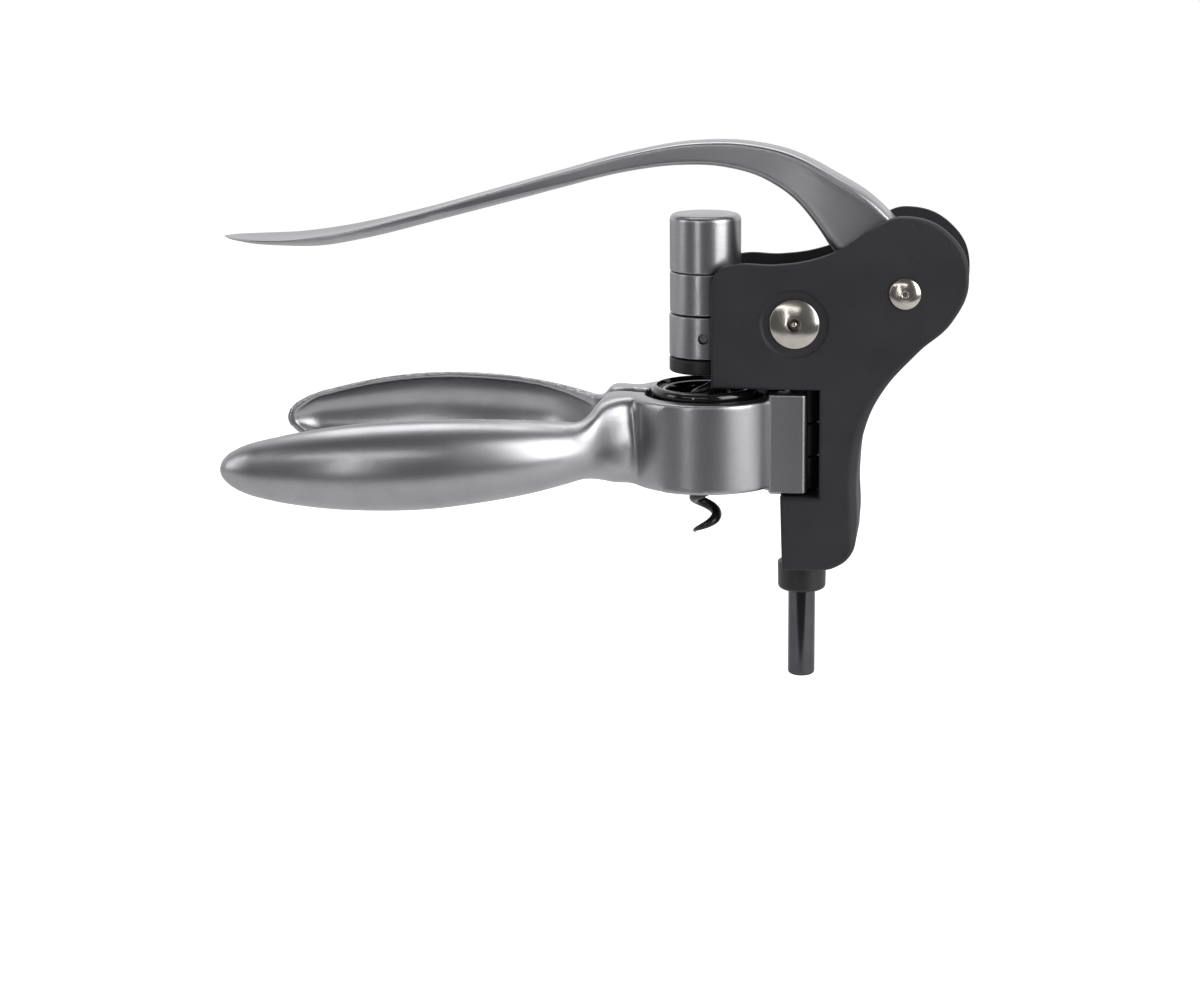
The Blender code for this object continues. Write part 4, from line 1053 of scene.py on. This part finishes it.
@dataclass
class GuideRod:
    """The polished rod that slides in the column and carries the clamp's knuckles."""

    radius: float = 3.75 * MM
    low: float = -74.9 * MM
    high: float = 36.4 * MM

    def build(self) -> None:
        """Build and dress the rod, with its rounded foot."""
        r = self.radius
        profile = [(0.0, self.high, 0.0), (r, self.high, 0.2 * MM), (r, self.low, 0.9 * MM),
                   (0.0, self.low, 0.0)]
        turned(profile, arc_steps=6, place=Matrix.Translation((ROD_X, 0, 0))).deliver(
            "guide_rod_shaft", POLISHED_STEEL.material(), "carrier", "polished_steel", ["guide_rod"])


@dataclass
class Lever:
    """The arched lever: a ridged beam that thins to a dished thumb spoon, on a slotted hub."""

    axle_bore: float = 3.15 * MM
    hub: float = 11.5 * MM
    hub_half: float = 6.9 * MM
    slot: float = 14.5 * MM
    slot_half: float = 3.3 * MM
    pin_circle: float = 8.0 * MM
    pin_bore: float = 1.65 * MM
    pin_angles: tuple[float, float] = (115.0, 295.0)
    around: int = 64
    stations: int = 150
    crowding: float = 0.55
    top_corner: float = 0.24
    foot_corner: float = 0.34
    keel_rise: float = 0.72
    keel_tuck: float = 0.10

    # The tables are in millimetres, each row an x and the value there.
    top: tuple[tuple[float, float], ...] = (
        (-133.5, 45.6), (-126.0, 45.7), (-116.0, 46.0), (-102.0, 47.9), (-80.5, 52.9), (-58.0, 59.3),
        (-40.0, 64.4), (-21.8, 69.4), (-3.0, 72.8), (12.0, 72.8), (24.0, 70.2), (35.0, 64.8), (46.0, 57.8),
        (54.5, 49.0), (57.0, 46.0))
    foot: tuple[tuple[float, float], ...] = (
        (-133.5, 45.4), (-127.0, 43.9), (-116.0, 43.2), (-105.0, 43.4), (-93.8, 45.4), (-72.0, 51.0),
        (-50.0, 57.0), (-39.3, 60.0), (-20.6, 64.8), (-7.0, 66.6), (5.7, 66.2), (17.0, 62.8), (25.6, 56.6),
        (31.2, 49.6), (34.8, 44.2), (37.6, 40.8), (41.4, 38.6), (48.0, 36.5), (57.0, 36.0))
    half: tuple[tuple[float, float], ...] = (
        (-133.5, 0.6), (-131.5, 3.6), (-126.0, 7.2), (-116.0, 10.0), (-103.0, 11.2), (-90.0, 10.7),
        (-76.0, 9.0), (-60.0, 6.9), (-42.0, 5.5), (-20.0, 4.9), (2.0, 4.8), (20.0, 5.4), (34.0, 6.4),
        (45.0, 6.85), (57.0, 6.85))
    dish: tuple[tuple[float, float], ...] = (
        (-133.5, 0.0), (-129.0, 0.5), (-118.0, 1.1), (-100.0, 1.3), (-80.0, 1.0), (-62.0, 0.5), (-45.0, 0.0),
        (57.0, 0.0))
    keel: tuple[tuple[float, float], ...] = (
        (-133.5, 0.8), (-116.0, 0.85), (-95.0, 0.8), (-70.0, 0.65), (-50.0, 0.35), (-30.0, 0.12), (0.0, 0.05),
        (57.0, 0.02))

    def station(self, x: float) -> list[Vector]:
        """Return the section at x: a dished top, a crisp ridge, and sides that tuck under.

        Args:
            x: The distance along the lever, in millimetres.

        Returns:
            The ring of points, in metres.
        """
        top, foot, half = along(self.top, x), along(self.foot, x), along(self.half, x)
        dish, keel = along(self.dish, x), along(self.keel, x)
        lift = (top - foot) / 2
        ring = []
        for index in range(self.around):
            angle = 2 * math.pi * (index + 0.5) / self.around
            cos, sin = math.cos(angle), math.sin(angle)
            above = sin > 0
            corner = self.top_corner if above else self.foot_corner
            y = half * power(cos, corner)
            z = (top + foot) / 2 + lift * power(sin, corner)
            share = y / half
            if above:
                z -= dish * (1 - share * share) * power(sin, corner)
            else:
                tuck = power(-sin, corner)
                z += keel * 2 * lift * self.keel_rise * share * share * tuck
                y *= 1 - self.keel_tuck * keel * tuck
            ring.append(Vector((x, y, z)) * MM)
        return ring

    def build(self) -> None:
        """Build and dress the lever."""
        start, end = self.top[0][0], self.top[-1][0]
        shares = [index / self.stations for index in range(self.stations + 1)]
        places = [start + (end - start) * (share + self.crowding * share * (share - 1) * (1 - share))
                  for share in shares]
        arm = lofted([self.station(x) for x in places])
        x, z = AXLE
        hub_profile = [(0.0, self.hub_half, 0.0), (self.hub, self.hub_half, 0.5 * MM),
                       (self.hub, -self.hub_half, 0.5 * MM), (0.0, -self.hub_half, 0.0)]
        lay = Matrix.Translation((x, 0, z)) @ Matrix.Rotation(math.pi / 2, 4, "X")
        arm.join(turned(hub_profile, place=lay))
        arm.cut(rod(self.slot, (x, -self.slot_half, z), (x, self.slot_half, z), 96),
                rod(self.axle_bore, (x, -self.hub, z), (x, self.hub, z)))
        for angle in map(math.radians, self.pin_angles):
            px, pz = x + self.pin_circle * math.cos(angle), z + self.pin_circle * math.sin(angle)
            arm.cut(rod(self.pin_bore, (px, -self.hub, pz), (px, self.hub, pz), 32))
        arm.deliver("lever_handle", CAST_NICKEL.material(), "lever", "satin_nickel", ["lever_arm"],
                    crease=70.0)


@dataclass
class ClampArm:
    """One clamp arm: half a collar, a blended wrist, a hollow grip and a crisp hinge cheek."""

    side: Side
    bore: float = 16.8 * MM
    collar: float = 21.5 * MM
    low: float = -20.0 * MM
    high: float = 4.5 * MM
    front_gap: float = 2.5 * MM
    back_gap: float = 4.0 * MM
    boss_mm: tuple[float, float] = (-37.0, -16.0)
    cheek_x: tuple[float, float] = (18.2 * MM, 28.6 * MM)
    cheek_z: tuple[float, float] = (-21.6 * MM, 6.1 * MM)
    cheek_y: tuple[float, float] = (5.2 * MM, 11.0 * MM)
    cheek_chamfer: float = 1.6 * MM
    cheek_edge: float = 0.75 * MM
    knuckle: float = 4.9 * MM
    knuckle_bore: float = 3.95 * MM
    knuckle_gap: float = 0.15 * MM
    wall: float = 1.6 * MM
    hollow: tuple[float, float] = (0.14, 0.987)
    hollow_run_in: float = 0.22
    hollow_run_out: float = 0.05
    hollow_low: float = 0.72
    hollow_swell: float = 0.28
    grip_corner: float = 1.05
    grip_arc: int = 34
    grip_flat: int = 10
    shoulder_steps: int = 48
    shoulder_arc: int = 25
    rings: int = 72
    ring_crowding: float = 1.25
    voxel: float = 0.42 * MM
    blend_x: tuple[float, float] = (-33.0 * MM, -11.0 * MM)
    blend_y: float = 8.5 * MM
    blend_z: tuple[float, float] = (-18.8 * MM, 3.2 * MM)
    blend_rim: float = 1.6 * MM
    blend_eases: tuple[float, ...] = (1.6 * MM, 0.8 * MM, 0.0, -0.8 * MM, -1.6 * MM)
    blend_passes: int = 16
    last_passes: int = 4
    liner_bore: float = 14.6 * MM
    liner_outer: float = 16.5 * MM
    liner_z: tuple[float, float] = (-18.0 * MM, -1.0 * MM)
    far: float = 80 * MM

    # The shoulder's inner and outer sides, top, foot and roundness, each as (x, value), and the grip's
    # stations, each as (share, x, |y|, z, half height, depth). All lengths are in millimetres.
    BOSS_INNER = ((-37.0, 21.9), (-34.0, 19.4), (-31.0, 15.0), (-29.0, 10.6), (-27.4, 6.0), (-26.0, 2.2),
                  (-25.0, 0.6), (-24.0, 0.2), (-16.0, 0.2))
    BOSS_OUTER = ((-37.0, 29.0), (-34.0, 27.4), (-31.0, 25.0), (-28.0, 21.8), (-25.0, 18.0), (-22.0, 14.8),
                  (-19.0, 12.8), (-16.0, 12.0))
    BOSS_TOP = ((-37.0, -1.0), (-34.0, -0.9), (-31.5, -0.3), (-29.5, 1.3), (-28.0, 3.2), (-26.6, 4.3),
                (-25.2, 4.5), (-16.0, 4.5))
    BOSS_FOOT = ((-37.0, -17.0), (-33.0, -17.1), (-30.5, -17.5), (-28.0, -18.2), (-25.6, -19.2),
                 (-24.0, -19.7), (-21.0, -19.9), (-16.0, -19.9))
    BOSS_ROUND = ((-37.0, 0.9), (-31.0, 0.75), (-27.0, 0.5), (-22.0, 0.38), (-16.0, 0.3))
    GRIP = (
        (0.00, -17.0, 9.0, -8.5, 7.4, 2.6), (0.07, -24.0, 12.5, -8.6, 7.7, 3.6),
        (0.16, -33.5, 19.0, -9.0, 8.3, 6.8), (0.26, -43.5, 24.5, -9.3, 9.9, 8.2),
        (0.41, -58.5, 30.5, -9.7, 11.5, 9.2), (0.53, -71.5, 33.8, -10.2, 12.2, 9.8),
        (0.66, -86.5, 35.8, -10.7, 11.9, 9.6), (0.79, -100.5, 36.2, -11.4, 10.6, 8.4),
        (0.90, -113.0, 35.6, -12.1, 8.4, 6.4), (0.945, -118.6, 35.2, -12.3, 7.0, 5.3),
        (0.972, -122.4, 34.8, -12.45, 5.4, 4.1), (0.988, -124.9, 34.5, -12.5, 3.7, 2.9),
        (0.997, -126.3, 34.3, -12.6, 1.9, 1.6), (1.00, -126.8, 34.2, -12.6, 0.5, 0.5))

    def grip_place(self, share: float) -> list[float]:
        """Return the grip's x, |y|, z, half height and depth at a share of its length, in millimetres."""
        return [along([(row[0], row[column]) for row in self.GRIP], share) for column in range(1, 6)]

    def grip_ring(self, share: float, inset: float, open_reach: float) -> list[Vector]:
        """Return one D-shaped ring of the grip, flat towards the other grip and rounded outside.

        Args:
            share: How far along the grip, from 0 at the wrist to 1 at the tip.
            inset: How much smaller than the outside.
            open_reach: How far the flat side is carried past the grip's inner face.

        Returns:
            The ring of points.
        """
        x, y, z, tall, deep = (value * MM for value in self.grip_place(share))
        ahead, behind = self.grip_place(min(1.0, share + 0.01)), self.grip_place(max(0.0, share - 0.01))
        run = Vector((ahead[0] - behind[0], ahead[1] - behind[1])).normalized()
        out = Vector((run.y, -run.x)) if run.x < 0 else Vector((-run.y, run.x))
        tall, deep = max(tall - inset, 0.3 * MM), max(deep - inset, 0.3 * MM)
        if inset:
            rise = math.sin(min(1.0, (share - self.hollow[0]) / self.hollow_run_in) * math.pi / 2)
            fall = max(0.0, 1 - (self.hollow[1] - share) / self.hollow_run_out)
            deep, tall = deep * math.sqrt(1 - fall * fall), tall * (1 - 0.4 * fall * fall)
            deep = max(deep * rise, 0.2 * MM)
            tall *= self.hollow_low + self.hollow_swell * rise
        last = self.grip_arc - 1
        spots = []
        for index in range(self.grip_arc):
            angle = -math.pi / 2 + math.pi * index / last
            spots.append((deep * math.cos(angle) ** self.grip_corner if 0 < index < last else 0.0,
                          tall * math.sin(angle)))
        spots += [(-open_reach, tall * (1 - 2 * (step + 0.5) / self.grip_flat))
                  for step in range(self.grip_flat)]
        return [Vector((x + out.x * reach, self.side.value * (y + out.y * reach), z + lift))
                for reach, lift in spots]

    def span(self, y_low: float, y_high: float) -> tuple[float, float]:
        """Return two distances from the mid-plane as Y values on this arm's side."""
        low, high = sorted((self.side.value * y_low, self.side.value * y_high))
        return low, high

    def side_box(self, xs: tuple[float, float], ys: tuple[float, float], zs: tuple[float, float],
                 edge: float = 0.0) -> Blank:
        """Return a box on this arm's side of the mid-plane."""
        low, high = self.span(*ys)
        return box((xs[0], low, zs[0]), (xs[1], high, zs[1]), edge)

    def parting_cutters(self, ease: float = 0.0) -> tuple[Blank, Blank]:
        """Return the cutters that part the two collars in front and behind, wider by an ease."""
        return (self.side_box((-self.far, MM), (-self.far, self.front_gap + ease), (-self.far, self.far)),
                self.side_box((0.0, self.far), (-self.far, self.back_gap + ease), (-self.far, self.far)))

    def soften(self, shape: bmesh.types.BMesh) -> None:
        """Smooth the casting all over, then blend the wrist into the boss and the collar.

        Args:
            shape: The casting's even mesh.
        """
        relax(shape, shape.verts, 1)
        for ease in self.blend_eases:
            wrist = [vert for vert in shape.verts
                     if self.blend_x[0] - ease < vert.co.x < self.blend_x[1] + ease
                     and abs(vert.co.y) > self.blend_y - 2 * ease
                     and self.blend_z[0] - ease < vert.co.z < self.blend_z[1] + ease
                     and math.hypot(vert.co.x, vert.co.y) > self.collar - self.blend_rim]
            relax(shape, wrist, self.blend_passes)
        relax(shape, shape.verts, self.last_passes)

    def shoulder(self) -> Blank:
        """Return the block that carries the wrist, with an S-shaped top and foot.

        Returns:
            The blank.
        """
        stations = []
        last = self.shoulder_arc - 1
        for index in range(self.shoulder_steps + 1):
            x = self.boss_mm[0] + (self.boss_mm[1] - self.boss_mm[0]) * index / self.shoulder_steps
            top, foot, soft = along(self.BOSS_TOP, x), along(self.BOSS_FOOT, x), along(self.BOSS_ROUND, x)
            inner = max(along(self.BOSS_INNER, x), self.front_gap / MM)
            deep, middle, tall = along(self.BOSS_OUTER, x) - inner, (top + foot) / 2, (top - foot) / 2
            ring = []
            for step in range(self.shoulder_arc):
                angle = -math.pi / 2 + math.pi * step / last
                reach = deep * math.cos(angle) ** soft if 0 < step < last else 0.0
                ring.append(Vector((x, self.side.value * (inner + reach),
                                    middle + tall * power(math.sin(angle), min(1.0, soft + 0.3)))) * MM)
            stations.append(ring)
        return lofted(stations)

    def cheek_root(self) -> Blank:
        """Return the swelling of the collar that the hinge cheek stands on.

        Returns:
            The blank.
        """
        front, back = self.cheek_x
        ease = 0.7 * MM
        return self.side_box((front - 1.3 * MM, back - 3 * MM),
                             (self.cheek_y[0] + MM, self.cheek_y[1] - ease),
                             (self.cheek_z[0] + ease, self.cheek_z[1] - ease), 0.5 * MM)

    def casting(self) -> Blank:
        """Cast the collar, boss and grip in one skin with blended corners.

        Returns:
            The blank, before its hinge is added.
        """
        profile = [(self.bore, self.high, 0.35 * MM), (self.collar, self.high, 0.5 * MM),
                   (self.collar, self.low, 0.5 * MM), (self.bore, self.low, 0.35 * MM)]
        body = turned(profile, closed=True, steps=192)
        body.cut(*self.parting_cutters())
        body.join(self.shoulder(), self.cheek_root())
        shares = [1 - (1 - index / self.rings) ** self.ring_crowding for index in range(self.rings + 1)]
        body.join(lofted([self.grip_ring(share, 0.0, 0.0) for share in shares]))
        start, end = self.hollow
        body.cut(lofted([self.grip_ring(start + (end - start) * index / self.rings, self.wall, 6 * MM)
                         for index in range(self.rings + 1)]))
        body.modify("REMESH", mode="VOXEL", voxel_size=self.voxel, use_smooth_shade=True)
        return body.edit(self.soften)

    def knuckle_spans(self) -> list[tuple[float, float]]:
        """Return the heights of this arm's knuckles: top and bottom near, middle far.

        Returns:
            The (bottom, top) of each knuckle, in metres.
        """
        low, high = self.cheek_z
        third = (high - low) / 3
        if self.side is Side.NEAR:
            return [(low, low + third - self.knuckle_gap), (low + 2 * third + self.knuckle_gap, high)]
        return [(low + third + self.knuckle_gap, low + 2 * third - self.knuckle_gap)]

    def cheek(self) -> Blank:
        """Return the hinge cheek with its knuckles and webs, its edges broken.

        Returns:
            The blank.
        """
        front, back = self.cheek_x
        inner, outer = self.cheek_y
        block = self.side_box((front, back), (inner, outer), self.cheek_z)

        def ease(shape: bmesh.types.BMesh) -> None:
            """Chamfer the outer back corner, then round every outer edge.

            Args:
                shape: The block's shape.
            """
            face_y = self.side.value * outer
            corner = [edge for edge in shape.edges
                      if all(vert.co.x > back - 0.1 * MM and abs(vert.co.y - face_y) < 0.1 * MM
                             for vert in edge.verts)]
            round_off(shape, corner, self.cheek_chamfer, 3)
            rim = [edge for edge in shape.edges if len(edge.link_faces) == 2
                   and edge.calc_face_angle(0.0) > math.radians(50)]
            round_off(shape, rim, self.cheek_edge, 3)

        block.edit(ease)
        for low, high in self.knuckle_spans():
            barrel = turned([(0.0, high, 0.0), (self.knuckle, high, 0.4 * MM), (self.knuckle, low, 0.4 * MM),
                             (0.0, low, 0.0)], place=Matrix.Translation((ROD_X, 0, 0)))
            web = self.side_box((ROD_X - self.knuckle + 0.4 * MM, back - 0.6 * MM),
                                (0.3 * MM, self.knuckle + 2 * MM), (low + 0.1 * MM, high - 0.1 * MM))
            block.join(barrel, web)
        return block

    def liner(self) -> Blank:
        """Turn the ribbed liner that lies in this arm's half of the collar.

        Returns:
            The blank, parted a little wider than the collar.
        """
        bore, outer, (low, high) = self.liner_bore, self.liner_outer, self.liner_z
        profile = [(bore, high, 0.5 * MM), (outer, high, 0.2 * MM), (outer, low, 0.2 * MM),
                   (bore, low, 0.5 * MM)]
        grooves = [point for z in ((-15.6 + 2.0 * row) * MM for row in range(7))
                   for point in ((bore, z - 0.35 * MM, 0.0), (14.95 * MM, z - 0.1 * MM, 0.0),
                                 (14.95 * MM, z + 0.1 * MM, 0.0), (bore, z + 0.35 * MM, 0.0))]
        return turned(profile + grooves, closed=True, steps=128).cut(*self.parting_cutters(0.5 * MM))

    def build(self, metal: bpy.types.Material, rubber: bpy.types.Material) -> None:
        """Build and dress the arm and its liner.

        Args:
            metal: The cast metal's material.
            rubber: The liner's material.
        """
        label = self.side.label
        arm = self.casting().join(self.cheek())
        arm.cut(rod(self.knuckle_bore, (ROD_X, 0, -50 * MM), (ROD_X, 0, 50 * MM), 96))
        arm.deliver("clamp_casting_" + label, metal, "clamp_" + label, "satin_nickel", ["clamp_arm_" + label])
        self.liner().deliver("clamp_pad_" + label, rubber, "clamp_" + label, "liner_rubber",
                             ["clamp_liner_" + label])


@dataclass
class HiddenWorks:
    """The machined pieces inside the shells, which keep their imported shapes."""

    steel: tuple[str, ...] = ("lever_axle", "nut_bracket", "guide_block_near", "guide_block_far",
                              "lever_gear", "gear_pin_upper", "gear_pin_lower", "crosshead", "rack_bar",
                              "worm_spindle", "set_screw")
    nylon: tuple[str, ...] = ("thrust_washer",)

    def dress(self, names: Sequence[str], material: bpy.types.Material) -> None:
        """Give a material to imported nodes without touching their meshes.

        Args:
            names: The nodes' names.
            material: The material that they get.
        """
        for name in names:
            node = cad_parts[name]
            for slot in node.material_slots:
                slot.link = "OBJECT"
                slot.material = material
            LOG.info("%s: dressed in %s", name, material.name)

    def build(self) -> None:
        """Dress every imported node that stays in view."""
        self.dress(self.steel, PLAIN_STEEL.material())
        self.dress(self.nylon, BLACK_NYLON.material())


# --- the studio -------------------------------------------------------------------------------------

def mirror_rays(tree: bpy.types.NodeTree) -> tuple[bpy.types.Node, bpy.types.Node]:
    """Return a tree's Light Path, and a node that is 1 for what metal reflects or glass lets through.

    Args:
        tree: The node tree of a world or a material.

    Returns:
        The Light Path and the Math node.
    """
    path = add_node(tree, "ShaderNodeLightPath")
    return path, add_node(tree, "ShaderNodeMath", {"operation": "MAXIMUM"},
                          {0: path.outputs["Is Glossy Ray"], 1: path.outputs["Is Transmission Ray"]})


@dataclass
class Studio:
    """The floor, white surround, soft lamps and camera."""

    target: Vector
    distance: float = 0.720
    elevation: float = math.radians(11.0)
    azimuth: float = math.radians(6.0)
    lens: float = 78.84
    shift: tuple[float, float] = (-0.0879, -0.08375)
    floor_z: float = -0.16
    floor_size: float = 3.0
    floor_front: float = -0.30
    floor_roughness: float = 0.9
    floor_seen: float = 0.75
    floor_mirrored: float = 0.12
    room_turn: tuple[float, float] = (-0.25, 0.45)
    room_mirrored: tuple[float, float] = (0.135, 0.95)
    room_light: float = 0.30
    lamps: tuple[tuple[str, tuple[float, float, float], tuple[float, float], float], ...] = (
        ("key_right", (0.72, -0.46, 0.30), (0.62, 0.85), 7.4),
        ("strip_left", (-0.28, -0.80, 0.42), (0.90, 0.08), 0.9),
        ("strip_upright", (-0.34, -0.95, 0.10), (0.05, 0.60), 0.8),
        ("fill_left", (-0.95, -0.30, 0.25), (0.35, 0.60), 1.5),
        ("top", (-0.05, 0.30, 0.95), (1.1, 0.6), 5.0))

    def camera(self) -> None:
        """Place the camera low in front of the lever's side."""
        data = bpy.data.cameras.new("camera")
        data.sensor_width = 36.0
        data.lens = self.lens
        data.shift_x, data.shift_y = self.shift
        data.clip_start, data.clip_end = 0.01, 20.0
        item = add_item("camera", data)
        way = Vector((math.sin(self.azimuth) * math.cos(self.elevation),
                      -math.cos(self.azimuth) * math.cos(self.elevation), math.sin(self.elevation)))
        item.location = self.target + way * self.distance
        item.rotation_euler = (-way).to_track_quat("-Z", "Y").to_euler()
        bpy.context.scene.camera = item

    def lamp(self, name: str, place: Sequence[float], size: tuple[float, float], watts: float) -> None:
        """Hang one soft lamp that faces the target.

        Args:
            name: The lamp's name.
            place: Where it hangs.
            size: Its width and height.
            watts: Its power.
        """
        data = bpy.data.lights.new(name, "AREA")
        data.shape = "RECTANGLE"
        data.size, data.size_y = size
        data.energy = watts
        item = add_item(name, data)
        item.location = place
        item.rotation_euler = (self.target - item.location).to_track_quat("-Z", "Y").to_euler()

    def surround(self) -> None:
        """Make the world: white to the camera, and in reflections grey in front and white behind."""
        world = bpy.data.worlds.new("studio")
        bpy.context.scene.world = world
        world.use_nodes = True
        tree = world.node_tree
        tree.nodes.clear()
        path, mirror = mirror_rays(tree)
        ray = add_node(tree, "ShaderNodeTexCoord")
        way = add_node(tree, "ShaderNodeSeparateXYZ", None, {"Vector": ray.outputs["Generated"]})
        behind = add_node(tree, "ShaderNodeMapRange", {"interpolation_type": "SMOOTHSTEP"},
                          {"Value": way.outputs["Y"],
                           "From Min": self.room_turn[0], "From Max": self.room_turn[1],
                           "To Min": self.room_mirrored[0], "To Max": self.room_mirrored[1]})
        seen = add_node(tree, "ShaderNodeMath", {"operation": "MULTIPLY"},
                        {0: mirror.outputs["Value"], 1: behind.outputs["Result"]})
        white = add_node(tree, "ShaderNodeMath", {"operation": "MAXIMUM"},
                         {0: seen.outputs["Value"], 1: path.outputs["Is Camera Ray"]})
        soft = add_node(tree, "ShaderNodeMath", {"operation": "MULTIPLY"},
                        {0: path.outputs["Is Diffuse Ray"], 1: self.room_light})
        level = add_node(tree, "ShaderNodeMath", {"operation": "MAXIMUM"},
                         {0: white.outputs["Value"], 1: soft.outputs["Value"]})
        light = add_node(tree, "ShaderNodeBackground", None, {"Color": linear("#ffffff"),
                                                              "Strength": level.outputs["Value"]})
        add_node(tree, "ShaderNodeOutputWorld", None, {"Surface": light.outputs["Background"]})

    def floor(self) -> None:
        """Lay the pale floor, which looks white to the camera and keeps a soft shadow."""
        shape = bmesh.new()
        bmesh.ops.create_grid(shape, x_segments=1, y_segments=1, size=self.floor_size / 2)
        bmesh.ops.translate(shape, vec=(0, self.floor_size / 2 + self.floor_front, self.floor_z),
                            verts=shape.verts)
        mesh = bpy.data.meshes.new("floor")
        shape.to_mesh(mesh)
        shape.free()
        item = add_item("floor", mesh)
        material, tree, shader = blank_material("matt_white_board")
        shader.inputs["Base Color"].default_value = linear("#e6e6e6")
        shader.inputs["Roughness"].default_value = self.floor_roughness
        path, mirror = mirror_rays(tree)
        dimmed = add_node(tree, "ShaderNodeMath", {"operation": "MULTIPLY"},
                          {0: mirror.outputs["Value"], 1: self.floor_mirrored})
        lift = add_node(tree, "ShaderNodeMath", {"operation": "MULTIPLY_ADD"},
                        {0: path.outputs["Is Camera Ray"], 1: self.floor_seen, 2: dimmed.outputs["Value"]})
        shader.inputs["Emission Color"].default_value = linear("#ffffff")
        tree.links.new(lift.outputs["Value"], shader.inputs["Emission Strength"])
        mesh.materials.append(material)

    def build(self) -> None:
        """Set up the whole studio."""
        bpy.context.scene.view_settings.view_transform = "Standard"
        self.surround()
        self.floor()
        for lamp in self.lamps:
            self.lamp(*lamp)
        self.camera()


def main() -> None:
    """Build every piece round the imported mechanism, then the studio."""
    logging.basicConfig(level=logging.INFO, format="%(name)s: %(message)s")
    for works in (BodyShells(), Fasteners(), MouthWorks(), WormStack(), Worm(), GuideRod(), Lever()):
        works.build()
    metal, rubber = CAST_NICKEL.material(), RUBBER.material()
    for side in Side:
        ClampArm(side).build(metal, rubber)
    HiddenWorks().build()
    Studio(Vector((0, 0, 0.0045))).build()


if __name__ == "__main__":
    main()
